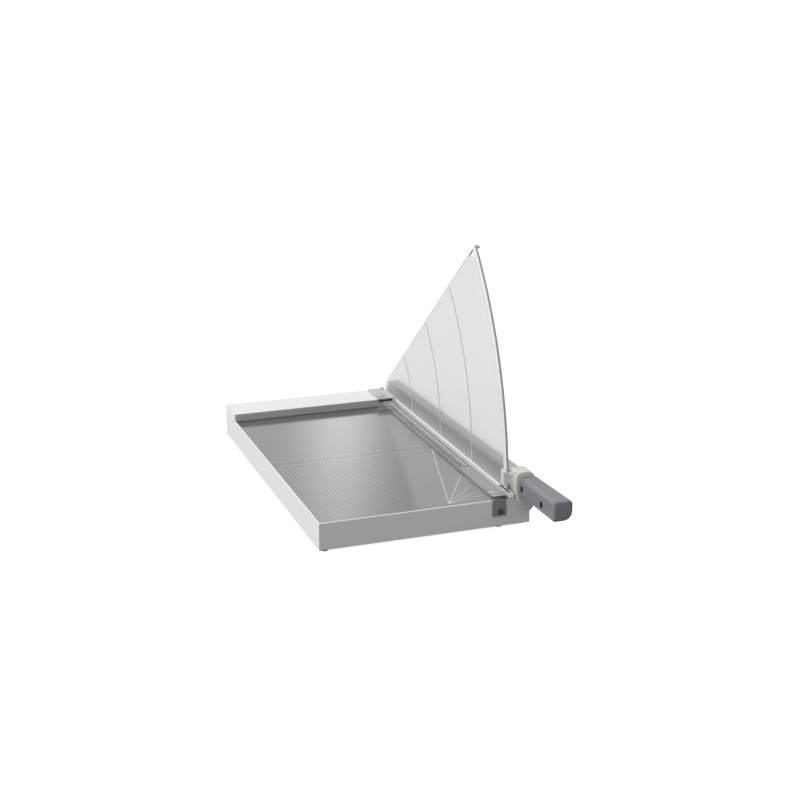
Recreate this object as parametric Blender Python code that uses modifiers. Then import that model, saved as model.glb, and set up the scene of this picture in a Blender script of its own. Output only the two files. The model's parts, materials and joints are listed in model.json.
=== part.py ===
# Guillotine paper cutter, A4 class, with a frosted fixed guard on the paper side
# of the blade. Blender 4.5, metres, +Z up.
#
# World frame: ground at z = 0, +X to the right (blade side), +Y to the back
# (pivot end), handle towards -Y. X and Y are centred on the whole object.
#
# Lengths below are millimetres in a working frame whose origin is the base's
# front-left rim corner: X to the right, Y to the back, Z up from the rim.
import math

import bmesh
import bpy
from mathutils import Matrix, Vector

# ---------------------------------------------------------- shared dimensions
MM = 0.001
GAP = 0.3                 # clearance kept between touching pieces
THROUGH = 2.0             # how far a through hole's cutter passes each face

BASE_W = 280.5            # outer width of the base
BASE_D = 486.0            # outer depth of the base
MIDDLE_X = 142.99         # middle of the whole object, handle included
MIDDLE_Y = 187.0
BASE_H = 35.5             # side wall, from lower edge to rim
FOOT_H = 3.5              # foot standing below the base
RIM_HEIGHT = BASE_H + FOOT_H
WALL = 2.4                # base side and front walls
BACK_WALL = 2.0
LEDGE_Y = 433.0           # front face of the raised back ledge
LEDGE_H = 10.0            # ledge above the rim
LEDGE_X1 = 249.6          # right end of the ledge

TABLE_TOP = -1.2          # table surface below the rim
TABLE_BOTTOM = TABLE_TOP - 3.0
TABLE_INSET = 1.8         # table pocket from the base's left and front faces
TABLE_X1 = 252.0

CUT_X = 257.1             # shear plane between the two blades
SHEAR_GAP = 0.2           # from that plane to each blade
BLADE_X0 = CUT_X + SHEAR_GAP
BLADE_X1 = BLADE_X0 + 2.0

PIVOT = (474.0, -2.5)     # arm hinge axis: y, z
PIVOT_Y, PIVOT_Z = PIVOT
PIVOT_X = 262.0           # where the arm's origin sits on that axis
PIVOT_R = 9.5             # rounded pivot end of the arm
BOLT_R = 4.0

ARM_X0 = BLADE_X1 + GAP   # left web of the arm channel
ARM_X1 = 274.6
ARM_WEB = 2.7
ARM_WEB_X1 = ARM_X0 + ARM_WEB
ARM_Y0 = -2.0
ARM_TOP_FRONT = 33.4      # arm top at y = 0
ARM_TOP_REAR = 24.2       # arm top over the pivot

GUARD_X = 253.2           # middle plane of the guard sheet
GUARD_HALF_T = 0.9
RAIL_X0, RAIL_X1 = 250.0, 257.0
RAIL_Z0, RAIL_Z1 = 1.6, 8.4

# Fastener and spring places, each as the two coordinates across its axis
FEET = {
    "front_left": (9.5, 10.0),
    "front_right": (241.0, 10.5),
    "rear_left": (9.5, 476.0),
    "rear_right": (241.0, 476.0),
}
SPRINGS = {"front": (235.0, 14.0), "rear": (235.0, 449.0)}
FRONT_BRACKET_SCREW = (239.0, -15.0)
REAR_BRACKET_SCREW = (246.0, 478.0)
RAIL_SCREWS = [(253.4, y) for y in (446.0, 470.0)]
PIVOT_BRACKET_SCREWS = [(270.5, y) for y in (463.5, 480.0)]
COUNTER_SCREWS = [(60.0 + 156.0 * i, -11.8) for i in range(3)]
BLADE_SCREWS = [(y, 19.0 - 0.004 * y) for y in (46.0, 150.0, 254.0, 350.0)]
HEEL_SCREWS = [(y, 17.0) for y in (392.0, 419.0)]
TANG_RIVETS = [(y, 20.5) for y in (28.0, 58.0)]
HANDLE_SCREWS = [(-18.0, 17.6), (-76.3, 17.9)]

# ---------------------------------------------------------------------- scene
for old_object in list(bpy.data.objects):
    bpy.data.objects.remove(old_object, do_unlink=True)
for old_collection in list(bpy.data.collections):
    bpy.data.collections.remove(old_collection)

PARTS = bpy.data.collections.new("guillotine_paper_cutter")
CUTTERS = bpy.data.collections.new("cutters")
bpy.context.scene.collection.children.link(PARTS)
bpy.context.scene.collection.children.link(CUTTERS)


# ------------------------------------------------------------------ materials
def material(name, color, roughness, metallic=0.0, alpha=1.0):
    mat = bpy.data.materials.new(name)
    mat.use_nodes = True
    inputs = mat.node_tree.nodes["Principled BSDF"].inputs
    inputs["Base Color"].default_value = (*color, 1.0)
    inputs["Roughness"].default_value = roughness
    inputs["Metallic"].default_value = metallic
    inputs["Alpha"].default_value = alpha
    mat.diffuse_color = (*color, alpha)
    return mat


LIGHT_GREY = material("light_grey_paint", (0.74, 0.76, 0.75), roughness=0.45)
TABLE_GREY = material("table_grey", (0.20, 0.21, 0.22), roughness=0.18)
DARK_GREY = material("dark_grey_plastic", (0.09, 0.10, 0.11), roughness=0.5)
BLACK = material("black_plastic", (0.02, 0.02, 0.02), roughness=0.5)
RUBBER = material("black_rubber", (0.02, 0.02, 0.02), roughness=0.85)
FROSTED = material("frosted_guard", (0.80, 0.81, 0.82), roughness=0.5, alpha=0.6)
CLEAR = material("clear_plastic", (0.62, 0.64, 0.66), roughness=0.1, alpha=0.5)
SMOKED = material("smoked_plastic", (0.20, 0.21, 0.23), roughness=0.3, alpha=0.9)
ALU = material("aluminium", (0.72, 0.73, 0.75), roughness=0.3, metallic=1.0)
STEEL = material("blade_steel", (0.35, 0.36, 0.38), roughness=0.3, metallic=1.0)
ZINC = material("zinc_steel", (0.55, 0.56, 0.58), roughness=0.35, metallic=1.0)
ARM_PAINT = material("arm_paint", (0.62, 0.64, 0.64), roughness=0.4)
WHITE = material("warm_white_plastic", (0.82, 0.81, 0.77), roughness=0.45)
GRIP = material("grip_grey", (0.16, 0.17, 0.20), roughness=0.55)
NYLON = material("nylon", (0.75, 0.73, 0.66), roughness=0.5)


# --------------------------------------------------------- points and outlines
def point(x, y, z):
    """Working millimetres to world metres."""
    return Vector(((x - MIDDLE_X) * MM, (y - MIDDLE_Y) * MM, (z + RIM_HEIGHT) * MM))


def on_axis(axis, along, place):
    """World point at `along` on a line parallel to an axis; place = other two coordinates."""
    u, v = place
    return {"x": point(along, u, v), "y": point(u, along, v), "z": point(u, v, along)}[axis]


def around(middle, half):
    return (middle - half, middle + half)


def through(start, end):
    """Span of a cutter that passes right through start..end."""
    return (start - THROUGH, end + THROUGH)


def pivot_arc(radius, start, end, steps):
    """(y, z) points about the pivot; 0 deg points to the front, 90 deg up."""
    angles = [math.radians(start + (end - start) * i / steps) for i in range(steps + 1)]
    return [(PIVOT_Y - radius * math.cos(a), PIVOT_Z + radius * math.sin(a)) for a in angles]


def pivot_band(radius, other_radius, start, end, steps):
    """Outline of a band between two arcs about the pivot."""
    first = pivot_arc(radius, start, end, steps)
    return first + pivot_arc(other_radius, start, end, steps)[::-1]


def angle_at_height(z, radius):
    """Degrees at which a circle about the pivot reaches height z."""
    return math.degrees(math.asin((z - PIVOT_Z) / radius))


def rounded(u0, u1, v0, v1, radii, steps):
    """Rounded rectangle; radii = bottom-left, bottom-right, top-right, top-left."""
    bl, br, tr, tl = radii
    corners = ((u0 + bl, v0 + bl, bl, 180), (u1 - br, v0 + br, br, 270),
               (u1 - tr, v1 - tr, tr, 0), (u0 + tl, v1 - tl, tl, 90))
    points = []
    for u, v, radius, start in corners:
        for i in range(steps + 1):
            a = math.radians(start + 90 * i / steps)
            points.append((u + radius * math.cos(a), v + radius * math.sin(a)))
    return points


# ------------------------------------------------------------- object helpers
def link(name, mesh, mat, origin):
    """Put a world-space mesh on an object at `origin`; without a material it is a cutter."""
    mesh.transform(Matrix.Translation(-origin))
    ob = bpy.data.objects.new(name, mesh)
    ob.location = origin
    if mat is None:
        CUTTERS.objects.link(ob)
        ob.hide_render = True
        ob.display_type = "WIRE"
    else:
        PARTS.objects.link(ob)
        mesh.materials.append(mat)
    return ob


def add_empty(name, origin, size):
    empty = bpy.data.objects.new(name, None)
    empty.location = origin
    empty.empty_display_size = size
    PARTS.objects.link(empty)
    return empty


def finish(bm, name):
    bmesh.ops.recalc_face_normals(bm, faces=bm.faces)
    mesh = bpy.data.meshes.new(name)
    bm.to_mesh(mesh)
    bm.free()
    return mesh


def mean_point(mesh):
    return sum((v.co for v in mesh.vertices), Vector()) / len(mesh.vertices)


def smooth(ob, angle):
    ob.data.shade_smooth()
    ob.data.set_sharp_from_angle(angle=math.radians(angle))
    return ob


def add_bevel(ob, width, segments=2, angle=40):
    mod = ob.modifiers.new("edge", "BEVEL")
    mod.width = width * MM
    mod.segments = segments
    mod.limit_method = "ANGLE"
    mod.angle_limit = math.radians(angle)


def boolean(ob, other, operation="DIFFERENCE"):
    mod = ob.modifiers.new(other.name, "BOOLEAN")
    mod.operation = operation
    mod.object = other
    mod.solver = "EXACT"


# ---------------------------------------------------------------------- boxes
def add_box(bm, x, y, z):
    """Box over three (low, high) spans."""
    centre = (point(x[0], y[0], z[0]) + point(x[1], y[1], z[1])) / 2
    size = Matrix.Diagonal(((x[1] - x[0]) * MM, (y[1] - y[0]) * MM, (z[1] - z[0]) * MM, 1.0))
    bmesh.ops.create_cube(bm, size=1.0, matrix=Matrix.Translation(centre) @ size)


def box(name, x, y, z, mat=None, bevel=0.0, segments=2, origin=None):
    bm = bmesh.new()
    add_box(bm, x, y, z)
    origin = origin or (point(x[0], y[0], z[0]) + point(x[1], y[1], z[1])) / 2
    ob = link(name, finish(bm, name), mat, origin)
    if bevel:
        add_bevel(ob, bevel, segments)
    return ob


def cut_box(ob, name, x, y, z):
    boolean(ob, box(name, x, y, z))


def join_box(ob, name, x, y, z, bevel=0.0, segments=2):
    boolean(ob, box(name, x, y, z, bevel=bevel, segments=segments), "UNION")


# ------------------------------------------------------------------ cylinders
CYLINDER_TURN = {         # from +Z to the axis
    "x": Matrix.Rotation(math.radians(90), 4, "Y"),
    "y": Matrix.Rotation(math.radians(-90), 4, "X"),
    "z": Matrix.Identity(4),
}
LATHE_TURN = {            # from +X to the axis
    "x": Matrix.Identity(4),
    "y": Matrix.Rotation(math.radians(90), 4, "Z"),
    "z": Matrix.Rotation(math.radians(-90), 4, "Y"),
}
MERGE = 0.000002          # metres, for joining coincident vertices


def add_cylinder(bm, axis, place, span, radius, sides, end_radius=None):
    """Cylinder, or cone if the end radius differs, over a span of an axis."""
    start, end = span
    centre = on_axis(axis, (start + end) / 2, place)
    end_radius = radius if end_radius is None else end_radius
    bmesh.ops.create_cone(bm, cap_ends=True, cap_tris=False, segments=sides,
                          radius1=radius * MM, radius2=end_radius * MM,
                          depth=(end - start) * MM,
                          matrix=Matrix.Translation(centre) @ CYLINDER_TURN[axis])


def drill(ob, name, axis, places, span, radius, end_radius=None, sides=14,
          operation="DIFFERENCE"):
    """Apply one cutter made of a cylinder at each place."""
    bm = bmesh.new()
    for place in places:
        add_cylinder(bm, axis, place, span, radius, sides, end_radius)
    mesh = finish(bm, name)
    boolean(ob, link(name, mesh, None, mean_point(mesh)), operation)


def drill_bolt_sink(ob, name):
    """Conical seat of the pivot bolt's head, open to the left."""
    drill(ob, name, "x", [PIVOT], (BLADE_X0 - 0.2, BLADE_X0 + 3.6), 7.9,
          end_radius=BOLT_R - 0.06, sides=24)


def lathe(name, rows, base, mat, axis, steps, closed=False, flip=False, origin=None):
    """Rows of (distance along the axis, radius) spun about the axis through base."""
    bm = bmesh.new()
    verts = [bm.verts.new((t * MM, r * MM, 0.0)) for t, r in rows]
    edges = [bm.edges.new(pair) for pair in zip(verts, verts[1:])]
    if closed:
        edges.append(bm.edges.new((verts[-1], verts[0])))
    bmesh.ops.spin(bm, geom=verts + edges, cent=(0, 0, 0), axis=(1, 0, 0), dvec=(0, 0, 0),
                   angle=math.tau, steps=steps, use_merge=True)
    bmesh.ops.remove_doubles(bm, verts=bm.verts, dist=MERGE)
    turn = LATHE_TURN[axis]
    if flip:
        turn = turn @ Matrix.Rotation(math.pi, 4, "Z")
    bmesh.ops.transform(bm, matrix=Matrix.Translation(base) @ turn, verts=bm.verts)
    return smooth(link(name, finish(bm, name), mat, origin or base), 30)


def screw(name, axis, place, ends, head, shank, flat=False, socket=0.0, steps=20,
          origin_along=None):
    """Screw with ends = (head face, tip), head = (radius, height), shank = radius.
    flat makes the head countersunk; socket is the radius of its hexagonal recess."""
    start, tip = ends
    head_r, head_h = head
    length = abs(tip - start)
    if flat:
        rows = [(0.0, 0.0), (0.0, head_r), (0.25, head_r)]
    else:
        rows = [(0.0, 0.0), (0.0, head_r * 0.86), (0.35, head_r), (head_h, head_r)]
    rows += [(head_h, shank), (length - 0.6, shank), (length, shank * 0.7), (length, 0.0)]
    origin = None if origin_along is None else on_axis(axis, origin_along, place)
    ob = lathe(name, rows, on_axis(axis, start, place), ZINC, axis, steps,
               flip=tip < start, origin=origin)
    if socket:
        inward = 1.0 if tip > start else -1.0
        depth = min(head_h * 0.7, 1.6)
        span = sorted((start - 0.5 * inward, start + depth * inward))
        drill(ob, name + "_socket", axis, [place], span, socket, sides=6)


def screws(prefix, axis, places, ends, **sizes):
    """A row of equal screws, numbered from 1."""
    for i, place in enumerate(places, 1):
        screw(f"{prefix}_{i}", axis, place, ends, **sizes)


# --------------------------------------------------------------------- plates
PLANES = {                # outline plane: extrusion axis, turn from the XY plane
    "YZ": ("x", Matrix(((0, 0, 1, 0), (1, 0, 0, 0), (0, 1, 0, 0), (0, 0, 0, 1)))),
    "XZ": ("y", Matrix(((1, 0, 0, 0), (0, 0, -1, 0), (0, 1, 0, 0), (0, 0, 0, 1)))),
    "XY": ("z", Matrix.Identity(4)),
}


def plate(name, outline, span, mat=None, plane="YZ", origin=None):
    """A flat outline, extruded over a span across its plane, as a closed mesh."""
    start, end = span
    curve = bpy.data.curves.new(name + "_outline", "CURVE")
    curve.dimensions = "2D"
    curve.fill_mode = "BOTH"
    curve.extrude = (end - start) / 2 * MM
    spline = curve.splines.new("POLY")
    spline.points.add(len(outline) - 1)
    for spline_point, (u, v) in zip(spline.points, outline):
        spline_point.co = (u * MM, v * MM, 0.0, 1.0)
    spline.use_cyclic_u = True
    temp = bpy.data.objects.new(name + "_outline", curve)
    PARTS.objects.link(temp)
    axis, turn = PLANES[plane]
    temp.matrix_world = Matrix.Translation(on_axis(axis, (start + end) / 2, (0, 0))) @ turn
    bpy.context.view_layer.update()
    depsgraph = bpy.context.evaluated_depsgraph_get()
    flat_mesh = bpy.data.meshes.new_from_object(temp.evaluated_get(depsgraph))
    world = temp.matrix_world.copy()
    bpy.data.objects.remove(temp, do_unlink=True)
    bpy.data.curves.remove(curve)

    bm = bmesh.new()
    bm.from_mesh(flat_mesh)
    bmesh.ops.remove_doubles(bm, verts=bm.verts, dist=MERGE)
    bmesh.ops.dissolve_limit(bm, angle_limit=math.radians(0.2), verts=[], edges=bm.edges)
    bmesh.ops.transform(bm, matrix=world, verts=bm.verts)
    mesh = finish(bm, name)
    bpy.data.meshes.remove(flat_mesh)
    return link(name, mesh, mat, origin or mean_point(mesh))


def join_plate(ob, name, outline, span, plane="YZ"):
    boolean(ob, plate(name, outline, span, plane=plane), "UNION")


# ----------------------------------------------------------------------- base
HOUSING_CUTS = [          # name, x span, y span, z span
    ("cut_cavity", (WALL, BASE_W - WALL), (WALL, BASE_D - BACK_WALL), (-BASE_H - 5, -7.5)),
    ("cut_ledge_cavity",
     (WALL + 0.4, 219.0), (LEDGE_Y + 2.8, BASE_D - 2.6), (-9.0, LEDGE_H - 2.5)),
    ("cut_table_pocket",
     (TABLE_INSET, TABLE_X1 + GAP), (TABLE_INSET, LEDGE_Y + 0.4), (TABLE_BOTTOM - GAP, 1.0)),
    ("cut_right_deck", (262.5, BASE_W - 1.8), (2.2, BASE_D - 2.4), (-2.5, 5.0)),
    ("cut_blade_slot", (251.5, 263.4), (3.0, LEDGE_Y), (-12.0, 4.0)),
    ("cut_arm_slot", (RAIL_X1 - 0.05, 263.8), (LEDGE_Y - 2.0, BASE_D - 2.15), (-14.0, 6.0)),
    ("cut_pivot_pocket", (260.0, 277.6), (456.0, BASE_D - 2.8), (-16.0, 8.0)),
    # notch in the back wall, so that the arm's rear end swings through
    ("cut_rear_notch", (RAIL_X1 - 0.05, 277.6), (BASE_D - 4.5, BASE_D + 2.0), (-5.6, 3.0)),
    ("cut_strip_notch", (224.4, LEDGE_X1 + 0.5), (LEDGE_Y - 0.8, 463.0), (-1.5, LEDGE_H + 5)),
]


def add_foot_bosses(housing):
    """Screw bosses over the feet; the rear left one reaches up into the ledge."""
    bm = bmesh.new()
    for key, place in FEET.items():
        top = LEDGE_H - 1.5 if key == "rear_left" else -6.5
        add_cylinder(bm, "z", place, (-BASE_H + 1.8, top), 4.5, 14)
    mesh = finish(bm, "add_bosses")
    boolean(housing, link("add_bosses", mesh, None, mean_point(mesh)), "UNION")


def build_housing():
    housing = box("base_housing", (0, BASE_W), (0, BASE_D), (-BASE_H, 0), LIGHT_GREY,
                  bevel=0.9, origin=point(BASE_W / 2, BASE_D / 2, -BASE_H))
    join_box(housing, "add_ledge", (0.12, LEDGE_X1), (LEDGE_Y, BASE_D - 0.12),
             (-6.0, LEDGE_H), bevel=0.9)
    for name, x, y, z in HOUSING_CUTS:
        cut_box(housing, name, x, y, z)
    add_foot_bosses(housing)
    drill(housing, "cut_boss_holes", "z", FEET.values(), (-BASE_H + 1.0, -15.0), 1.8)
    drill(housing, "cut_front_bracket_hole", "y", [FRONT_BRACKET_SCREW], (-3.0, 8.0), 1.8)
    drill(housing, "cut_spring_pockets", "z", SPRINGS.values(), (-6.4, -1.0), 3.8)
    drill(housing, "cut_rail_screw_holes", "z", RAIL_SCREWS, (-12.0, 3.0), 1.9)
    drill(housing, "cut_rear_bracket_hole", "z", [REAR_BRACKET_SCREW], (2.0, 14.0), 1.6)


def build_bottom_cover():
    cover = box("bottom_cover", (WALL + GAP, BASE_W - WALL - GAP),
                (WALL + GAP, BASE_D - BACK_WALL - GAP), (-BASE_H + 0.2, -BASE_H + 1.4),
                DARK_GREY)
    hole_z = (-BASE_H - 1, -BASE_H + 3)
    drill(cover, "cut_bottom_foot_holes", "z", FEET.values(), hole_z, 2.2)
    drill(cover, "cut_bottom_bracket_holes", "z", PIVOT_BRACKET_SCREWS, hole_z, 2.0)


FOOT_R = 5.2
FOOT_BORE_R = 1.9
FOOT_SINK_R = 3.3         # recess around the screw head
FOOT_TOP = FOOT_H - 0.1
FOOT_SECTION = [          # height above the ground, radius
    (0.0, FOOT_R - 0.9), (0.5, FOOT_R - 0.25), (1.4, FOOT_R), (FOOT_TOP, FOOT_R),
    (FOOT_TOP, FOOT_BORE_R), (1.7, FOOT_BORE_R), (1.7, FOOT_SINK_R), (0.0, FOOT_SINK_R),
]


def build_feet():
    for key, place in FEET.items():
        lathe("foot_" + key, FOOT_SECTION, on_axis("z", -RIM_HEIGHT, place), RUBBER, "z", 20,
              closed=True)
        screw("foot_screw_" + key, "z", place, (-RIM_HEIGHT + 0.6, -BASE_H + 14.0),
              head=(2.9, 0.8), shank=1.55, steps=12)


def build_table():
    start = TABLE_INSET + GAP
    table = box("table_plate", (start, TABLE_X1), (start, LEDGE_Y - GAP),
                (TABLE_BOTTOM, TABLE_TOP), TABLE_GREY)
    drill(table, "cut_table_spring_hole", "z", [SPRINGS["front"]], (-8.0, 2.0), 3.8)


def build_back_stop():
    box("back_stop_rule", (2.1, 223.1), (LEDGE_Y - GAP - 1.5, LEDGE_Y - GAP),
        (TABLE_TOP + GAP, LEDGE_H - 0.1), DARK_GREY, bevel=0.3, segments=1)


def build_counter_blade():
    """Fixed lower blade and the bar behind it that takes its screws."""
    counter = box("counter_blade", (TABLE_X1 + 2 * GAP, CUT_X - SHEAR_GAP),
                  (3.4, LEDGE_Y - 3.0), (-16.0, TABLE_TOP + 0.1), STEEL)
    drill(counter, "cut_counter_blade_holes", "x", COUNTER_SCREWS, (248.0, 258.0), 1.9)
    drill(counter, "cut_counter_blade_sinks", "x", COUNTER_SCREWS, (254.4, 258.2), 1.9,
          end_radius=5.2)
    support = box("blade_support_bar", (238.0, TABLE_X1 + GAP), (20.0, LEDGE_Y - 4.0),
                  (-21.0, -7.8), ZINC, bevel=0.6, segments=1)
    drill(support, "cut_support_holes", "x", COUNTER_SCREWS, (243.0, 254.0), 1.9)
    screws("counter_blade_screw", "x", COUNTER_SCREWS, (CUT_X - 0.4, 245.0),
           head=(3.2, 1.7), shank=1.5, flat=True, steps=12)


# ----------------------------------------------------------------- guard rail
RAIL_CLIP = [             # x, y
    (249.9, -0.8), (251.1, -0.8), (251.1, 22.5), (252.0, 22.5),
    (252.0, 25.0), (247.6, 25.0), (247.6, 22.5), (249.9, 22.5),
]


def build_rail():
    rail = box("guard_rail", (RAIL_X0, RAIL_X1), (-1.0, 482.0), (RAIL_Z0, RAIL_Z1), ALU,
               bevel=0.4)
    # pads under both ends, standing on the housing
    bm = bmesh.new()
    for y in ((436.0, 480.8), (-0.3, 2.3)):
        add_box(bm, (250.7, 256.3), y, (0.3, 2.5))
    pads = link("add_rail_feet", finish(bm, "add_rail_feet"), None, point(253.5, 240, 1))
    boolean(rail, pads, "UNION")
    cut_box(rail, "cut_rail_slot", around(GUARD_X, 1.2), (-2.0, 483.0), (3.0, 10.0))
    drill(rail, "cut_rail_bores", "z", RAIL_SCREWS, (-1.0, 4.0), 1.55, sides=12)
    screws("guard_rail_screw", "z", RAIL_SCREWS, (-10.2, 2.3),
           head=(3.0, 2.2), shank=1.3, steps=12)
    box("rail_end_cap", (RAIL_X0 + 0.2, RAIL_X1 - 0.2), (-3.2, -1.3),
        (RAIL_Z0 + 0.1, RAIL_Z1 - 0.3), BLACK, bevel=0.5)
    clip_z = RAIL_Z1 + GAP
    plate("rail_clip", RAIL_CLIP, (clip_z, clip_z + 1.2), BLACK, plane="XY")


# ------------------------------------------------------- guard sheet and rim
GUARD_R = 463.0           # sheet radius about the pivot
GUARD_TOP_ANGLE = 39.0    # where the sheet's top corner leaves the arc, degrees
SHEET_Z0 = 3.2
SHEET_Y1 = 481.3
SLOPE = math.radians(38.54)   # slanted edge of the sheet
SLOPE_Z = 25.6            # height of that edge over the pivot, above the rim
RIB_R = 463.6             # the ribs lie at fractions of this radius
RIB_HALF_W = 1.4

EDGE_R0 = 456.6           # edge channel on the sheet's arc
EDGE_R1 = 465.6
EDGE_HALF_W = 1.8
EDGE_TOP_ANGLE = 41.2
STRUT_R = 463.4           # radius at which the strut leaves the channel
STRUT_T = 1.9
PIN_ANGLE = math.radians(41.0)
PIN_R = 462.6
PIN = (PIVOT_Y - PIN_R * math.cos(PIN_ANGLE), PIVOT_Z + PIN_R * math.sin(PIN_ANGLE))
GUARD_ORIGIN = point(GUARD_X, *PIVOT)


def slope_z(y):
    return SLOPE_Z + (PIVOT_Y - y) * math.tan(SLOPE)


def build_guard_sheet():
    outline = pivot_arc(GUARD_R, angle_at_height(SHEET_Z0, GUARD_R), GUARD_TOP_ANGLE, 36)
    corner_z = outline[-1][1] - 4.0
    corner_y = PIVOT_Y - (corner_z - SLOPE_Z) / math.tan(SLOPE)
    outline += [(corner_y, slope_z(corner_y)), (SHEET_Y1 - 1.5, slope_z(SHEET_Y1 - 1.5)),
                (SHEET_Y1, slope_z(SHEET_Y1) - 3.6), (SHEET_Y1, SHEET_Z0)]
    sheet = plate("guard_sheet", outline, around(GUARD_X, GUARD_HALF_T), FROSTED,
                  origin=GUARD_ORIGIN)
    smooth(sheet, 20)
    slope_distance = (SLOPE_Z - PIVOT_Z) * math.cos(SLOPE)   # pivot to slanted edge
    for i, fraction in enumerate((0.25, 0.5, 0.75), 1):
        radius = fraction * RIB_R
        bottom = angle_at_height(RAIL_Z1 + 1.0, radius)
        # the rib stops 3 mm of arc short of the slanted edge
        top = math.degrees(SLOPE + math.asin(slope_distance / radius)) \
            - math.degrees(3.0 / radius)
        band = pivot_band(radius + RIB_HALF_W, radius - RIB_HALF_W, bottom, top, 12)
        join_plate(sheet, f"add_rib_{i}", band, around(GUARD_X, GUARD_HALF_T + 0.5))


def strut_outline():
    """Thin bar from the channel's top end, back and down parallel to the slanted edge."""
    angle = math.radians(EDGE_TOP_ANGLE)
    apex_y = PIVOT_Y - STRUT_R * math.cos(angle)
    apex_z = PIVOT_Z + STRUT_R * math.sin(angle)
    along_y, along_z = math.cos(SLOPE), -math.sin(SLOPE)
    # distance along the bar, distance square to it on the lower side
    corners = [(-0.5, 0.0), (27.3, 0.0), (24.4, STRUT_T), (-0.5, STRUT_T)]
    return [(apex_y + t * along_y + s * along_z, apex_z + t * along_z - s * along_y)
            for t, s in corners]


def build_guard_rim():
    """Channel over the sheet's arc, carried past the sheet to an eye for the stop pin."""
    bottom = angle_at_height(RAIL_Z1 + GAP, EDGE_R0)
    rim = plate("guard_rim", pivot_band(EDGE_R1, EDGE_R0, bottom, EDGE_TOP_ANGLE, 36),
                around(GUARD_X, EDGE_HALF_W), DARK_GREY, origin=GUARD_ORIGIN)
    smooth(rim, 20)
    join_plate(rim, "add_strut", strut_outline(), around(GUARD_X, 1.0))
    drill(rim, "add_pin_eye", "x", [PIN], around(GUARD_X, EDGE_HALF_W + 0.1), 3.1,
          operation="UNION")
    groove = pivot_band(GUARD_R + 0.3, EDGE_R0 - 1.5, bottom - 1.0, GUARD_TOP_ANGLE + 0.9, 36)
    boolean(rim, plate("cut_rim_groove", groove, around(GUARD_X, GUARD_HALF_T + 0.3)))
    drill(rim, "cut_pin_bore", "x", [PIN], (248.0, 258.0), 1.6, sides=20)
    screw("guard_stop_pin", "x", PIN, (259.2, 251.5), head=(2.2, 2.7), shank=1.3, socket=1.0)


# ---------------------------------------------------- front and rear brackets
FRONT_BRACKET = [         # y, z
    (-2.6, -21.0), (-0.3, -21.0), (-0.3, 0.3), (-0.3, 4.75),
    (15.5, 4.75), (15.5, 6.6), (-1.6, 6.6), (-2.6, 5.6),
]
REAR_BRACKET_X0 = 223.5


def build_front_bracket():
    bracket = plate("front_clamp_bracket", FRONT_BRACKET, (228.0, 247.0), CLEAR)
    add_bevel(bracket, 0.5)
    drill(bracket, "cut_front_bracket_bore", "y", [FRONT_BRACKET_SCREW], (-4.0, 2.0), 1.8)
    screw("front_bracket_screw", "y", FRONT_BRACKET_SCREW, (-4.6, 5.5),
          head=(3.4, 1.7), shank=1.5, socket=1.5)


def build_rear_bracket():
    outline = rounded(REAR_BRACKET_X0, LEDGE_X1 - 0.1, 427.0, 484.0, (1.5, 1.5, 1.5, 4.0), 4)
    bracket = plate("rear_clamp_bracket", outline, (LEDGE_H + GAP, LEDGE_H + 2.4), CLEAR,
                    plane="XY")
    join_box(bracket, "add_rear_lip", (REAR_BRACKET_X0, REAR_BRACKET_X0 + 1.8),
             (428.5, 480.0), (LEDGE_H + 1.0, LEDGE_H + 4.2))
    cut_box(bracket, "cut_rear_bracket_slot", (228.5, 238.5), (437.6, 440.0),
            (LEDGE_H - 1, LEDGE_H + 5))
    drill(bracket, "cut_rear_bracket_bore", "z", [REAR_BRACKET_SCREW],
          (LEDGE_H - 2, LEDGE_H + 6), 1.7)
    screw("rear_bracket_screw", "z", REAR_BRACKET_SCREW, (LEDGE_H + 4.0, LEDGE_H - 6.0),
          head=(2.8, 1.3), shank=1.35, socket=1.1, steps=12)


# ---------------------------------------------------------------- paper clamp
STRIP_X0, STRIP_X1 = 229.6, 246.4   # clear paper clamp strip
STRIP_Y0, STRIP_Y1 = 8.0, 458.0
STRIP_Z0, STRIP_Z1 = -0.1, 5.2
BEADS = [                 # x span, y span, height above the strip
    ((236.6, 238.2), (118.2, 424.0), 0.7),
    ((240.5, 242.1), (118.2, 424.0), 0.7),
    ((236.9, 241.8), (118.0, 119.8), 0.65),
]

SPRING_Z0, SPRING_Z1 = -6.1, -0.6
SPRING_TURNS = 3.6
SPRING_STEPS = 10         # points per turn
SPRING_R = 2.5
SPRING_WIRE = 0.35        # wire radius
SPRING_FLAT = 0.8         # turns lying flat at each end
SPRING_CREEP = 0.02       # small rise per turn, kept in the flat turns too


def build_clamp():
    """The clamp strip and its finger plate; returns the empty that slides them down."""
    slide = add_empty("clamp_slide", point((STRIP_X0 + STRIP_X1) / 2,
                                           (STRIP_Y0 + STRIP_Y1) / 2, STRIP_Z0), 0.02)
    strip = box("clamp_strip", (STRIP_X0, STRIP_X1), (STRIP_Y0, STRIP_Y1),
                (STRIP_Z0, STRIP_Z1), CLEAR, bevel=0.35, segments=1)
    for i, (x, y, height) in enumerate(BEADS, 1):
        join_box(strip, f"add_bead_{i}", x, y, (STRIP_Z1 - 1.0, STRIP_Z1 + height))
    # the front end is thinner, to pass under the bracket
    cut_box(strip, "cut_strip_front", (STRIP_X0 - 1.0, STRIP_X1 + 1.0),
            (STRIP_Y0 - 1.0, 17.0), (4.4, 8.0))
    # a shallow pocket holds the finger plate
    cut_box(strip, "cut_finger_pocket", (STRIP_X0 + 0.9, STRIP_X1 - 0.9), (16.0, 116.9),
            (3.9, 8.0))
    box("clamp_finger_plate", (STRIP_X0 + 1.2, STRIP_X1 - 1.2), (17.3, 116.6), (4.2, 5.5),
        SMOKED, bevel=0.3, segments=1)
    return slide


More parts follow.
